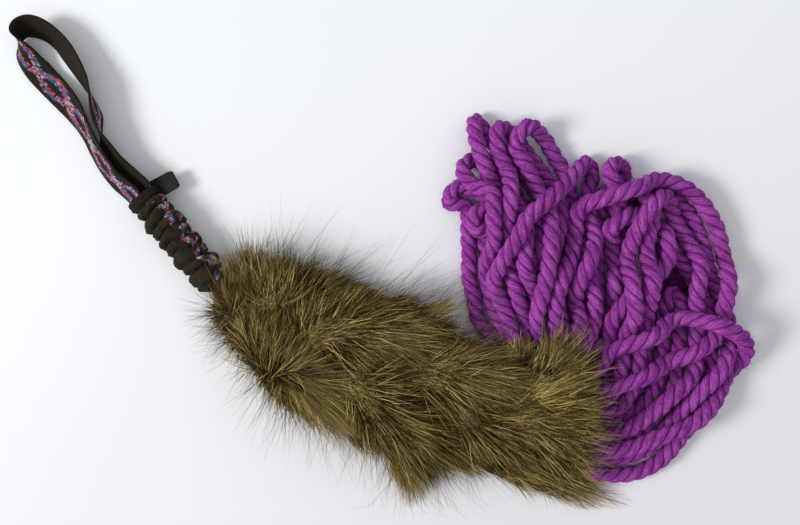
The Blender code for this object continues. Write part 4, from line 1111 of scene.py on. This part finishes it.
@dataclass
class Coat:
    """Hair of the fur strips, combed along a drawn nap and gathered in locks."""

    plait: FurPlait
    count: int = 125000
    flap_count: int = 14000
    head_count: int = 6000
    strays: int = 2200
    points: int = 4
    piece_limit: int = 32000
    radius: float = 0.28 * MM
    lowest: float = -137.0 * MM
    knee: float = 56.0 * MM
    highest: float = 70.0 * MM
    seed: int = 11
    corner: tuple[float, float] = (-0.210, -0.150)

    def nap(self, places: np.ndarray, pick: np.ndarray) -> tuple[np.ndarray, np.ndarray, np.ndarray]:
        """Direction, length and lift of the hair, blended from the drawn arrows.

        Args:
            places: root places.
            pick: number from 0 to 1 for each; where the arrows part, hairs with one number follow one arrow.

        Returns:
            Unit plan directions, lengths, and shares by which the hair stands out.
        """
        arrows = np.array(NAP_MM, dtype=float)
        angle = np.radians(arrows[:, 2])
        unit = np.column_stack([np.cos(angle), np.sin(angle)])
        apart = np.hypot(places[:, :1] - arrows[:, 0] * MM, places[:, 1:2] - arrows[:, 1] * MM)
        weight = 1.0 / (apart + 9.0 * MM) ** 4
        weight /= weight.sum(axis=1)[:, None]
        wider = 1.0 / (apart + 20.0 * MM) ** 4
        wider = np.cumsum(wider, axis=1)
        chosen = np.minimum((wider < pick[:, None] * wider[:, -1:]).sum(axis=1), len(arrows) - 1)
        blend = weight @ unit
        agree = np.linalg.norm(blend, axis=1)
        flow = blend + 0.55 * unit[chosen]
        flow /= np.linalg.norm(flow, axis=1)[:, None] + 1e-9
        return flow, weight @ (arrows[:, 3] * MM), 0.22 + 0.35 * np.clip(1.0 - agree, 0.0, 1.0)

    @staticmethod
    def patches(places: np.ndarray) -> np.ndarray:
        """Shift of tone from the paler and darker patches, some of them painted crease shade."""
        shift = np.zeros(len(places))
        for x, y, radius, by in TONE_AND_SHADE_PATCHES_MM:
            apart = np.hypot(places[:, 0] - x * MM, places[:, 1] - y * MM)
            shift += by * np.exp(-(apart / (radius * MM)) ** 2)
        return shift

    @staticmethod
    def outside(places: np.ndarray) -> np.ndarray:
        """How far plan places lie outside the dense fur's outline, negative inside it."""
        corners = np.array(FUR_EDGE_MM, dtype=float) * MM
        after = np.roll(corners, -1, axis=0)
        nearest = np.full(len(places), np.inf)
        inside = np.zeros(len(places), dtype=bool)
        for start, end in zip(corners, after):
            edge = end - start
            share = np.clip((places - start) @ edge / (edge @ edge), 0.0, 1.0)
            nearest = np.minimum(nearest, np.linalg.norm(places - start - share[:, None] * edge, axis=1))
            spans = (start[1] > places[:, 1]) != (end[1] > places[:, 1])
            if edge[1] != 0:
                cross = start[0] + (places[:, 1] - start[1]) / edge[1] * edge[0]
                inside ^= spans & (places[:, 0] < cross)
        return np.where(inside, -nearest, nearest)

    def heights(self) -> np.ndarray:
        """Top of the strips and of the turned-over end over a plan grid of 1 mm cells."""
        grid = np.zeros((420, 300))
        for number in range(3):
            centre, scale, _ = self.plait.path(number)
            fine = np.arange(0, len(centre) - 1, 0.125)
            rows = [np.interp(fine, np.arange(len(centre)), column) for column in (*centre.T, scale)]
            x, y, rise, size = (row[:, None] for row in rows)
            way = np.arctan2(np.gradient(rows[1]), np.gradient(rows[0]))[:, None]
            across = np.linspace(-0.99, 0.99, 61)[None]
            reach = across * self.plait.half_width * size
            top = rise + self.plait.half_height * size * np.sqrt(1.0 - across ** 2)
            column, row = self.cell(x - np.sin(way) * reach, y + np.cos(way) * reach)
            np.maximum.at(grid, (column, row), top)
        columns, rows = np.indices(grid.shape)
        x, y = columns * MM + self.corner[0], rows * MM + self.corner[1]
        apart = ((x - self.plait.knot[0]) / (33 * MM)) ** 2
        apart += ((y - self.plait.knot[1] - self.plait.flap_shift) / (33 * MM * self.plait.flap_lengthen)) ** 2
        dome = self.plait.knot_top + 11 * MM * np.sqrt(np.clip(1.0 - apart, 0.0, 1.0))
        return np.where(apart < 1.0, np.maximum(grid, dome), grid)

    def cell(self, x: np.ndarray, y: np.ndarray) -> tuple[np.ndarray, np.ndarray]:
        """Grid column and row of plan places."""
        return (np.clip(np.round((x - self.corner[0]) / MM).astype(int), 0, 419),
                np.clip(np.round((y - self.corner[1]) / MM).astype(int), 0, 299))

    def clear(self, hairs: np.ndarray) -> np.ndarray:
        """Lift the hairs so that they pass over the strips instead of through them."""
        tops = self.heights()
        for index in range(1, self.points):
            share = index / (self.points - 1)
            column, row = self.cell(hairs[:, index, 0], hairs[:, index, 1])
            floor = tops[column, row]
            near = floor - hairs[:, 0, 2] < 24 * MM
            raised = np.maximum(hairs[:, index, 2], floor + (0.6 + 2.2 * share) * MM)
            hairs[:, index, 2] = np.where(near & (floor > 0), raised, hairs[:, index, 2])
        return hairs

    def head_roots(self, rng: np.random.Generator, count: int) -> tuple[np.ndarray, np.ndarray]:
        """Places and outward directions on the binding where the plait starts."""
        low, high = (np.array(corner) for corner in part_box("fur_head_binding"))
        normal = rng.normal(size=(count, 3))
        normal[:, 2] = np.abs(normal[:, 2])
        normal /= np.linalg.norm(normal, axis=1)[:, None]
        return (low + high) / 2 + normal * (high - low) / 2 * 0.95, normal

    def strip_roots(self, rng: np.random.Generator, number: int, count: int) -> tuple[np.ndarray, np.ndarray]:
        """Places and outward directions on one strand, without those buried in another."""
        centre, scale, reach = self.plait.path(number)
        tangent = np.gradient(centre, axis=0)
        tangent /= np.linalg.norm(tangent, axis=1)[:, None]
        side = np.column_stack([-tangent[:, 1], tangent[:, 0], np.zeros(len(tangent))])
        side /= np.linalg.norm(side, axis=1)[:, None]
        up = np.cross(tangent, side)
        index = rng.integers(0, len(centre), count)
        shift = (rng.random(count) - 0.5)[:, None] * np.gradient(centre, axis=0)[index]
        angle = rng.random(count) * 2 * math.pi
        cos, sin = np.cos(angle)[:, None], np.sin(angle)[:, None]
        wide, high = self.plait.half_width * 0.92, self.plait.half_height * 0.92
        size, out = scale[index][:, None], reach[index][:, None]
        outer = np.maximum(cos * np.sign(out), 0.0) ** self.plait.pile_edge
        place = centre[index] + shift + side[index] * (wide * size * cos + 0.9 * out * outer)
        place += up[index] * (high * size * sin)
        place[:, 2] -= (np.abs(out) * outer * self.plait.pile_drop)[:, 0]
        normal = side[index] * cos * high + up[index] * sin * (wide + np.abs(out) * outer)
        normal /= np.linalg.norm(normal, axis=1)[:, None]
        keep = (normal[:, 2] > -0.45) | (rng.random(count) < 0.12)
        for other in range(3):
            if other != number:
                line, line_scale, _ = self.plait.path(other)
                apart = np.linalg.norm(place[:, None, :] - line[None, ::3, :], axis=2) / line_scale[None, ::3]
                keep &= apart.min(axis=1) > self.plait.half_height * 0.9
        return place[keep], normal[keep]

    def flap_roots(self, rng: np.random.Generator, count: int) -> tuple[np.ndarray, np.ndarray]:
        """Places and outward directions on the turned-over end."""
        angle = rng.random(count) * 2 * math.pi
        reach = np.sqrt(rng.random(count)) * 0.98
        rise = np.sqrt(1.0 - (reach * 0.99) ** 2)
        normal = np.column_stack([np.cos(angle) * reach, np.sin(angle) * reach, rise + 0.2])
        normal /= np.linalg.norm(normal, axis=1)[:, None]
        width = 33 * MM
        place = np.column_stack([
            self.plait.knot[0] + width * reach * np.cos(angle),
            self.plait.knot[1] + self.plait.flap_shift + width * self.plait.flap_lengthen * reach * np.sin(angle),
            self.plait.knot_top + 10 * MM * rise])
        return place, normal

    def shaped(self, rng: np.random.Generator, place: np.ndarray, normal: np.ndarray, locks: int,
               loose: float = 0.0) -> tuple[np.ndarray, np.ndarray]:
        """Comb and curve the hairs and gather them in locks.

        Args:
            rng: seeded numbers.
            place: root places.
            normal: outward directions at the roots.
            locks: how many locks the hairs gather in.
            loose: spread of single hairs off their lock.

        Returns:
            Points of each hair, and its tone from 0 to 1.
        """
        count = len(place)
        centres = rng.choice(count, min(locks, count), replace=False)
        tree = kdtree.KDTree(len(centres))
        for index, centre in enumerate(centres):
            tree.insert(place[centre], index)
        tree.balance()
        lock = np.array([tree.find(spot)[1] for spot in place])
        flow, length, lift = self.nap(place, rng.random(locks)[lock])
        length = length * (0.65 + 0.85 * rng.random(count) ** 1.3) * (1.0 + 0.8 * (loose > 0))
        turn = rng.normal(0.0, 0.20, locks)[lock] + rng.normal(0.0, 0.17 + loose, count)
        cos, sin = np.cos(turn), np.sin(turn)
        flow = np.column_stack([flow[:, 0] * cos - flow[:, 1] * sin, flow[:, 0] * sin + flow[:, 1] * cos])
        ahead = np.column_stack([flow, np.zeros(count)])
        # Hair is combed along the nap, so nothing of a surface that faces back turns it round
        normal = normal - ahead * np.minimum(np.sum(normal * ahead, axis=1), 0.0)[:, None]
        normal /= np.linalg.norm(normal, axis=1)[:, None] + 1e-9
        spread = rng.normal(0.0, 0.08 + 0.3 * loose, count) + rng.normal(0.0, 0.06, locks)[lock]
        out = np.clip(lift + spread + 0.2 * (loose > 0), 0.06, 0.95)
        first = ahead * (1 - out)[:, None] + normal * out[:, None]
        first /= np.linalg.norm(first, axis=1)[:, None]
        bend = ahead * 0.5 + np.array([0.0, 0.0, -0.5])
        side = np.column_stack([-flow[:, 1], flow[:, 0], np.zeros(count)])
        curl = (rng.normal(0.0, 0.10, locks)[lock] + rng.normal(0.0, 0.09, count))[:, None]
        shares = np.linspace(0.0, 1.0, self.points)
        hairs = np.empty((count, self.points, 3))
        for index, share in enumerate(shares):
            hairs[:, index] = place + length[:, None] * (first * share + bend * (0.42 * share ** 2)
                                                         + side * curl * share ** 2)
        pull = (0.04 + 0.34 * rng.random(len(centres))[lock])[:, None] * max(1.0 - 2.0 * loose, 0.0)
        for index, share in enumerate(shares):
            hairs[:, index] += pull * share ** 1.6 * (hairs[centres[lock], index] - hairs[:, index])
        guard = rng.random(count) < 0.17
        tone = np.where(guard, 0.60 + 0.45 * rng.random(count), 0.34 * rng.random(count) ** 2.2)
        # The patches add the coat's uneven tone and, along the crease by the head end, painted shade
        tone += rng.normal(0.0, 0.09, locks)[lock] + 0.8 * self.patches(place)
        return hairs, np.clip(tone, 0.0, 1.0)

    def trimmed(self, rng: np.random.Generator, hairs: np.ndarray, over: float) -> np.ndarray:
        """Scale each hair about its root so that the tips fill the outline and pass it by a little.

        Args:
            rng: seeded numbers.
            hairs: points of each hair.
            over: mean length by which tips pass the outline.
        """
        root = hairs[:, :1]
        depth = -self.outside(root[:, 0, :2])
        most = 1.0 + 0.6 * np.clip(1.0 - depth / (32.0 * MM), 0.0, 1.0)
        allowed = np.minimum(rng.exponential(over, len(hairs)) ** 1.15 * over ** -0.15, 5 * over) - 2.5 * MM
        chosen = np.full(len(hairs), 0.22)
        done = np.zeros(len(hairs), dtype=bool)
        for scale in (1.6, 1.45, 1.3, 1.15, 1.0, 0.87, 0.75, 0.64, 0.54, 0.45, 0.36, 0.28):
            tips = (root + (hairs[:, -1:] - root) * scale)[:, 0, :2]
            fits = ~done & (scale <= most + 1e-6) & (self.outside(tips) <= allowed)
            chosen[fits] = scale
            done |= fits
        return root + (hairs - root) * chosen[:, None, None]

    def lay(self, name: str, hairs: np.ndarray, tone: np.ndarray, radius: float, dress: bpy.types.Material,
            body: Body, slot: str, rng: np.random.Generator) -> None:
        """Make hairs as tapered flat blades, in pieces of a limited size."""
        hairs[:, :, 2] = np.maximum(hairs[:, :, 2], 0.4 * MM)
        over, room = np.maximum(hairs[:, :, 2] - self.knee, 0.0), self.highest - self.knee
        hairs[:, :, 2] += room * (1.0 - np.exp(-over / room)) - over
        hairs[:, :, 1] = np.maximum(hairs[:, :, 1], self.lowest)
        taper = np.interp(np.linspace(0, 1, self.points), [0.0, 0.35, 1.0], [0.75, 1.0, 0.15])
        for part, begin in enumerate(range(0, len(hairs), self.piece_limit)):
            chosen = hairs[begin:begin + self.piece_limit]
            curve = bpy.data.curves.new("hair run", "CURVE")
            curve.dimensions = "3D"
            curve.twist_mode = "Z_UP"
            curve.extrude = 1.0
            width = radius * (0.7 + 0.6 * rng.random(len(chosen)))
            tilt = math.pi / 2 + rng.normal(0.0, 0.5, len(chosen))
            rows = np.concatenate([chosen, np.ones((*chosen.shape[:2], 1))], axis=2).astype(np.float32)
            for row, size, lean in zip(rows, width, tilt):
                blade = curve.splines.new("POLY")
                blade.points.add(self.points - 1)
                blade.points.foreach_set("co", row.ravel())
                blade.points.foreach_set("radius", (taper * size).astype(np.float32))
                blade.points.foreach_set("tilt", np.full(self.points, lean, dtype=np.float32))
            holder = bpy.data.objects.new("hair run", curve)
            bpy.context.scene.collection.objects.link(holder)
            mesh = bpy.data.meshes.new_from_object(holder.evaluated_get(bpy.context.evaluated_depsgraph_get()))
            bpy.data.objects.remove(holder)
            mesh.materials.clear()
            mesh.materials.append(dress)
            for label, values in (("tone", np.repeat(tone[begin:begin + len(chosen)], 2 * self.points)),
                                  ("run", np.tile(np.repeat(np.linspace(0, 1, self.points), 2), len(chosen)))):
                mesh.attributes.new(label, "FLOAT", "POINT").data.foreach_set("value", values.astype(np.float32))
            placed(bpy.data.objects.new(f"{name}_{part + 1:02d}", mesh), body)

    def drawn_locks(self, rng: np.random.Generator, drawn: Sequence, share: float) -> tuple[np.ndarray, np.ndarray]:
        """Bundles of long hair that stand out of the plait, from a drawn table of roots and tips."""
        bundles, tones = [], []
        for x, y, tip_x, tip_y, low, high, wide, narrow, count in drawn:
            count = int(count * share)
            root, tip = np.array([x, y, low]) * MM, np.array([tip_x, tip_y, high]) * MM
            way = tip - root
            side = np.array([-way[1], way[0], 0.0]) / np.linalg.norm(way[:2])
            strand = rng.integers(0, 14, count) / 13 - 0.5
            across = 2 * strand + rng.normal(0.0, 0.22, count)
            back = rng.random(count) * 0.5 - 0.1
            reach = np.maximum(back + 0.25, 0.30 + 0.78 * rng.random(count) ** 1.3 - 0.35 * np.abs(strand))
            rise = rng.random(count) * 0.9 + 0.1
            curl = rng.normal(0.0, 0.07, count) + 0.05 * np.sin(9 * strand)
            bundle = np.empty((count, self.points, 3))
            for index, step in enumerate(np.linspace(0.0, 1.0, self.points)):
                run = (back + (reach - back) * step)[:, None]
                half = wide * (1 - run) + narrow * run * (1.0 + 1.2 * run * np.abs(strand)[:, None])
                bundle[:, index] = root + way * run + side * (across[:, None] * half * MM)
                bundle[:, index] += side * (curl * step ** 2)[:, None] * np.linalg.norm(way)
                bundle[:, index, 2] += 7.0 * MM * rise * math.sin(math.pi * (0.25 + 0.55 * step)) - 3.0 * MM
            bundles.append(bundle)
            tones.append(np.clip(0.05 + 0.9 * rng.random(count) ** 2 + 0.15 * np.cos(14 * strand), 0.0, 1.0))
        return np.vstack(bundles), np.concatenate(tones)

    def build(self) -> None:
        """Coat of the three strips, the turned-over end, the drawn tufts and the strays."""
        rng = np.random.default_rng(self.seed)
        share = 1.0
        wide = self.radius / math.sqrt(share)
        dress = HairFinish("hair", 0.5).material()
        found = [self.strip_roots(rng, number, int(self.count * share / 3)) for number in range(3)]
        place, normal = (np.vstack(parts) for parts in zip(*found))
        order = rng.permutation(len(place))
        place, normal = place[order], normal[order]
        place_head, normal_head = self.head_roots(rng, int(self.head_count * share))
        place, normal = np.vstack([place, place_head]), np.vstack([normal, normal_head])
        hairs, tone = self.shaped(rng, place, normal, 16000)
        hairs = self.clear(self.trimmed(rng, hairs, 5.0 * MM))
        self.lay("fur_coat", hairs, tone, wide, dress, Body.BRAID, "fur", rng)

        place_end, normal_end = self.flap_roots(rng, int(self.flap_count * share))
        hairs, tone = self.shaped(rng, place_end, normal_end, 2000)
        hairs = self.clear(self.trimmed(rng, hairs, 5.0 * MM))
        self.lay("fur_end_hair", hairs, tone, wide, dress, Body.BRAID, "fur", rng)

        hairs, tone = self.drawn_locks(rng, LOCKS_MM, max(share, 0.5))
        self.lay("fur_locks", hairs, tone, self.radius / math.sqrt(max(share, 0.5)), dress, Body.BRAID, "fur", rng)

        near = np.flatnonzero(self.outside(place[:, :2]) > -24 * MM)
        picked = rng.choice(near, self.strays, replace=False)
        hairs, tone = self.shaped(rng, place[picked], normal[picked], 700, 0.30)
        wisps, wisp_tone = self.drawn_locks(rng, WISPS_MM, 1.0)
        hairs, tone = np.vstack([hairs, wisps]), np.concatenate([tone, wisp_tone])
        self.lay("fur_strays", hairs, tone * 0.6, self.radius * 0.42, dress, Body.BRAID, "fur", rng)


@dataclass
class YarnMop:
    """Loops of soft twisted yarn, laid one on another as their solids are."""

    knot: tuple[float, float] = (112.0 * MM, -42.0 * MM)
    knot_radius: float = 30.0 * MM
    foot: float = 3.0 * MM
    margin: float = 0.3 * MM
    row_pitch: float = 10.6 * MM
    fan: float = 58.0 * MM
    pressed: float = 14.0 * MM
    root: float = 9.0 * MM
    root_run: float = 10.0 * MM
    swell: float = 50.0 * MM
    points: int = 24
    gap: float = 1.3 * MM
    settle_steps: int = 1000
    settle_last: int = 400
    settle_look: int = 12
    sink: float = 0.03
    plan_pull: float = 0.03
    stretch: float = 0.35
    bend: float = 0.02
    push: float = 1.3
    flank_mm: tuple[float, float] = (77.0, -5.0)
    flank_facing: float = 40.0
    fluff: float = 1.10
    lay_length: float = 35.0 * MM
    step: float = 2.4 * MM
    sides: int = 24
    fibres: int = 900
    seed: int = 5

    def root_point(self, row: int, direction: float) -> tuple[Vector, Vector]:
        """Where a yarn end leaves the knot, and the direction in which it leaves."""
        out = heading(direction)
        point = Vector((*self.knot, self.foot + self.margin + self.row_pitch * (row + 0.5)))
        return point + out * (self.knot_radius + CLEARANCE), out

    def plan(self, row: int, first: float, last: float, route_mm: Sequence) -> tuple:
        """A loop seen from above.

        Args:
            row: its row in the knot.
            first: direction in which its first end leaves, in degrees.
            last: direction in which its last end leaves.
            route_mm: its own points in plan.

        Returns:
            Its plan points, the radius and the distance at each, and the height of its ends.
        """
        ends = []
        for direction in (first, last):
            point, out = self.root_point(row, direction)
            fan = Vector((*self.knot, 0)) + out * self.fan
            ends.append((point, point + out * self.root_run, fan))
        (start, start_run, start_fan), (end, end_run, end_fan) = ends
        route = [start_run[:2], start_fan[:2]] + [(x * MM, y * MM) for x, y in route_mm]
        route += [end_fan[:2], end_run[:2]]
        plan = smooth_route(route, self.points - 2)
        plan = np.vstack([[start.x, start.y], plan, [end.x, end.y]])
        along = np.concatenate([[0.0], np.cumsum(np.linalg.norm(np.diff(plan, axis=0), axis=1))])
        reach = np.minimum(along, along[-1] - along) - self.root_run
        radii = (self.root + (self.pressed - self.root) * smooth_step(reach / self.swell)) / 2
        return plan, radii, along, start.z

    @staticmethod
    def between(values: np.ndarray, parts: int = 4) -> np.ndarray:
        """Values at finer steps between each point and the next."""
        shares = np.arange((len(values) - 1) * parts + 1) / parts
        return np.column_stack([np.interp(shares, np.arange(len(values)), column) for column in values.T])

    def lay_loops(self) -> list[tuple[np.ndarray, np.ndarray]]:
        """Lay the loops one on another: from flat layers they sink until they rest on what is below."""

        plans = [self.plan(*entry) for entry in YARN_LOOPS_MM]
        count = len(plans)
        target = np.array([plan for plan, _, _, _ in plans])
        radii = np.array([radius for _, radius, _, _ in plans])
        along = np.array([run for _, _, run, _ in plans])
        rest = np.diff(along, axis=1)
        layer = (np.arange(count)[:, None] + along / along[:, -1:]) * self.pressed * 1.3
        points = np.dstack([target, radii + layer])
        free = np.ones((count, self.points))
        free[:, [0, 1, -2, -1]] = 0.0
        for index, (_, _, _, height) in enumerate(plans):
            points[index, [0, 1, -2, -1], 2] = height
        pinned = points.copy()

        samples = [self.between(np.column_stack([np.arange(self.points), radii[i], along[i]])) for i in range(count)]
        place = np.concatenate([part[:, 0] for part in samples])
        reach = np.concatenate([part[:, 1] for part in samples])
        run = np.concatenate([part[:, 2] for part in samples])
        owner = np.repeat(np.arange(count), len(samples[0]))
        low = np.minimum(place.astype(int), self.points - 2)
        share = place - low
        near = (owner[:, None] == owner[None, :]) & (np.abs(run[:, None] - run[None, :]) < 2.6 * self.pressed)
        allowed = np.triu(~near, 1)
        touch = reach[:, None] + reach[None, :] + self.gap
        flank = np.array(self.flank_mm) * MM
        facing = np.array(heading(self.flank_facing)[:2])

        for step in range(self.settle_steps):
            last = step >= self.settle_steps - self.settle_last
            if not last:
                points[:, :, 2] -= self.sink * (points[:, :, 2] - radii) * free
                points[:, :, :2] += self.plan_pull * (target - points[:, :, :2]) * free[:, :, None]
                gap = np.diff(points, axis=1)
                length = np.linalg.norm(gap, axis=2)
                pull = (0.5 * (length - rest) / length)[:, :, None] * gap * self.stretch
                points[:, :-1] += pull * free[:, :-1, None]
                points[:, 1:] -= pull * free[:, 1:, None]
                middle = (points[:, :-2] + points[:, 2:]) / 2
                points[:, 1:-1] += self.bend * (middle - points[:, 1:-1]) * free[:, 1:-1, None]
            spots = points[owner, low] * (1 - share)[:, None] + points[owner, low + 1] * share[:, None]
            if step % self.settle_look == 0:
                square = np.sum(spots ** 2, axis=1)
                apart = square[:, None] + square[None, :] - 2 * spots @ spots.T
                one, other = np.nonzero(allowed & (apart < (touch + self.pressed) ** 2))
            offset = spots[one] - spots[other]
            distance = np.linalg.norm(offset, axis=1)
            deep = np.maximum(touch[one, other] - distance, 0.0)
            push = offset / distance[:, None] * (deep / 2)[:, None]
            shift = np.zeros((count * self.points, 3))
            weight = np.zeros(count * self.points)
            for spot, sign in ((one, 1.0), (other, -1.0)):
                for corner, part in ((low[spot], 1 - share[spot]), (low[spot] + 1, share[spot])):
                    where = owner[spot] * self.points + corner
                    part = part * (deep > 0)
                    weight += np.bincount(where, part, count * self.points)
                    for axis in range(3):
                        shift[:, axis] += np.bincount(where, sign * push[:, axis] * part, count * self.points)
            shift = shift / np.maximum(weight, 1.0)[:, None]
            points += self.push * shift.reshape(points.shape) * free[:, :, None]
            points[:, :, 2] = np.maximum(points[:, :, 2], radii)
            clear = (points[:, :, :2] - flank) @ facing
            short = np.maximum(radii - clear, 0.0) * (points[:, :, 1] > self.knot[1])
            points[:, :, :2] += short[:, :, None] * facing
            points = np.where(free[:, :, None] > 0, points, pinned)
        return [(points[index], radii[index]) for index in range(count)]

    def rope(self, number: int, points: np.ndarray, radii: np.ndarray, dress: bpy.types.Material) -> tuple:
        """One loop as three twisted plies with soft grooves between them.

        Args:
            number: the loop's number.
            points: its laid points.
            radii: its pressed radius at each point.
            dress: the yarn's material.

        Returns:
            The fine centreline and the rope's radius along it.
        """
        fine = smooth_route(np.column_stack([points, radii]), 400, flat=False)
        length = float(np.linalg.norm(np.diff(fine[:, :3], axis=0), axis=1).sum())
        count = max(int(length / self.step), 60)
        fine = smooth_route(np.column_stack([points, radii]), count, flat=False)
        centre, radius = fine[:, :3], fine[:, 3] * self.fluff
        tangent = np.gradient(centre, axis=0)
        tangent /= np.linalg.norm(tangent, axis=1)[:, None]
        angles = np.linspace(0, 2 * math.pi, self.sides, endpoint=False)
        offset, ply = 0.36, 0.64
        lobe = np.mod(angles + math.pi / 3, 2 * math.pi / 3) - math.pi / 3
        outline = offset * np.cos(lobe) + np.sqrt(np.maximum(ply ** 2 - (offset * np.sin(lobe)) ** 2, 0.0))
        # How far each point lies into a groove between plies, where the yarn finish paints shade
        groove_shade = (1.0 - outline) / (1.0 - outline.min())
        side = left_of(Vector(tangent[0]))
        rings, runs = [], []
        for index in range(count):
            way = Vector(tangent[index])
            side = (side - way * side.dot(way)).normalized()
            up = way.cross(side)
            run = length * index / (count - 1)
            turn = 2 * math.pi * run / self.lay_length + number
            swell = 1.0 + 0.06 * noise.noise(Vector((run * 30.0, number * 3.1, 0.0)))
            ring = []
            for angle, reach in zip(angles, outline):
                size = radius[index] * reach * swell
                point = Vector(centre[index]) + side * (size * math.cos(angle - turn))
                point += up * (size * math.sin(angle - turn))
                point.z = max(point.z, 0.15 * MM)
                ring.append(point)
            rings.append(ring)
            runs.append(run)
        around = {"swirl_x": list(np.cos(angles)), "swirl_y": list(np.sin(angles)), "groove_shade": list(groove_shade)}
        piece = finished(f"yarn_rope_{number:02d}", sweep(rings, around, runs), dress, Body.MOP,
                         [f"yarn_loop_{number:02d}"])
        log.info("rope %02d: %.0f mm long", number, length / MM)
        return centre, radius

    def build(self) -> None:
        """The ropes, the fluff on them and the knot's stitching."""
        dress = YarnFinish("yarn", 0.9, sheen=0.06, sheen_tint=(0.8, 0.3, 0.9)).material()
        rng = np.random.default_rng(self.seed)
        fluff, loose = [], []
        for number, (points, radii) in enumerate(self.lay_loops(), start=1):
            centre, radius = self.rope(number, points, radii, dress)
            index = rng.integers(2, len(centre) - 2, self.fibres)
            way = centre[index + 1] - centre[index - 1]
            way /= np.linalg.norm(way, axis=1)[:, None]
            out = rng.normal(size=(self.fibres, 3))
            out -= way * np.sum(out * way, axis=1)[:, None]
            out /= np.linalg.norm(out, axis=1)[:, None]
            first = out * 0.6 + way * rng.normal(0.0, 0.9, (self.fibres, 1))
            first /= np.linalg.norm(first, axis=1)[:, None]
            reach = (1.6 + 2.6 * rng.random(self.fibres))[:, None] * MM
            base = centre[index] + out * radius[index][:, None] * 0.86
            hair = np.stack([base, base + first * reach * 0.5, base + first * reach * 0.85 + out * 0.2 * reach,
                             base + first * reach * 1.1 + rng.normal(0, 0.3, (self.fibres, 3)) * reach], axis=1)
            hair[:, :, 2] = np.maximum(hair[:, :, 2], 0.3 * MM)
            fluff.append(hair)
        # Dark loose fibre on the floor in the gaps between loops: painted shade where the floor would show lit
        for x, y, reach, count in SHADE_FIBRE_MM:
            base = np.column_stack([rng.normal((x * MM, y * MM), reach * MM / 2, (count, 2)),
                                    rng.uniform(0.5, 5.0, count) * MM])
            turn = rng.uniform(0.0, 2 * math.pi, count)
            way = np.column_stack([np.cos(turn), np.sin(turn), rng.normal(0.0, 0.12, count)])
            bend = np.column_stack([-np.sin(turn), np.cos(turn), np.zeros(count)]) * rng.normal(0, 0.4, (count, 1))
            steps = [way * step + bend * step ** 2 for step in (0.0, 0.33, 0.66, 1.0)]
            hair = np.stack([base + step * 11.0 * MM for step in steps], axis=1)
            hair[:, :, 2] = np.clip(hair[:, :, 2], 0.4 * MM, 6.0 * MM)
            loose.append(hair)
        hairs = np.vstack(fluff)
        tuft = HairFinish("yarn fluff", 0.8, root=(0.13, 0.017, 0.16), dark=(0.20, 0.03, 0.24),
                          light=(0.42, 0.08, 0.52)).material()
        lay = Coat(FurPlait(Swivel()))
        lay.lay("yarn_fluff", hairs, rng.random(len(hairs)), 0.09 * MM, tuft, Body.MOP, "yarn", rng)
        # Near-black colours: the loose fibre paints the shade between the loops
        matted = HairFinish("painted shade fibre", 0.9, root=(0.05, 0.006, 0.06), dark=(0.06, 0.008, 0.07),
                            light=(0.16, 0.03, 0.18)).material()
        lay.lay("yarn_shade_fibre", np.vstack(loose), rng.random(3500), 0.45 * MM, matted, Body.MOP, "yarn", rng)
        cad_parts["yarn_knot"].data.materials[0] = StitchFinish(
            "knot stitching", 0.85, ground=(0.05, 0.012, 0.06), thread=(0.15, 0.03, 0.17), pitch=2.4 * MM).material()


@dataclass
class Studio:
    """Floor, soft light from the left and the camera straight above."""

    eye: tuple[float, float, float] = (-21.4 * MM, 89.7 * MM, 800.0 * MM)
    half_view: float = 370.0 * MM
    key_place: tuple[float, float, float] = (-3.27, -0.46, 2.4)
    key_size: float = 1.4
    key_power: float = 128.0
    sky: float = 0.60

    def build(self) -> None:
        """Make them."""
        bm = bmesh.new()
        bmesh.ops.create_grid(bm, x_segments=8, y_segments=8, size=4.0)
        mesh = bpy.data.meshes.new("floor")
        bm.to_mesh(mesh)
        bm.free()
        mesh.materials.append(FloorFinish("floor", 0.9).material())
        floor = bpy.data.objects.new("floor", mesh)
        bpy.context.scene.collection.objects.link(floor)

        world = bpy.data.worlds.new("room")
        world.use_nodes = True
        background = world.node_tree.nodes["Background"]
        background.inputs["Color"].default_value = (0.97, 0.98, 1.0, 1.0)
        background.inputs["Strength"].default_value = self.sky
        bpy.context.scene.world = world
        bpy.context.scene.view_settings.view_transform = "Standard"

        light = bpy.data.lights.new("window", "AREA")
        light.shape = "DISK"
        light.size = self.key_size
        light.energy = self.key_power
        light.color = (1.0, 0.985, 0.96)
        lamp = bpy.data.objects.new("window", light)
        lamp.location = self.key_place
        lamp.rotation_euler = (-Vector(self.key_place)).to_track_quat("-Z", "Y").to_euler()
        bpy.context.scene.collection.objects.link(lamp)

        camera = bpy.data.cameras.new("camera")
        camera.sensor_width = 36.0
        camera.lens = 36.0 * self.eye[2] / (2 * self.half_view)
        camera.clip_start = 0.01
        eye = bpy.data.objects.new("camera", camera)
        eye.location = self.eye
        bpy.context.scene.collection.objects.link(eye)
        bpy.context.scene.camera = eye


def main() -> None:
    """Build the whole scene."""
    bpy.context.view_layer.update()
    Studio().build()
    swivel = Swivel()
    YarnMop().build()
    HandLoop(swivel).build()
    Bungee(swivel).build()
    plait = FurPlait(swivel)
    plait.build()
    Coat(plait).build()
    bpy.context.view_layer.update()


if __name__ == "__main__":
    main()
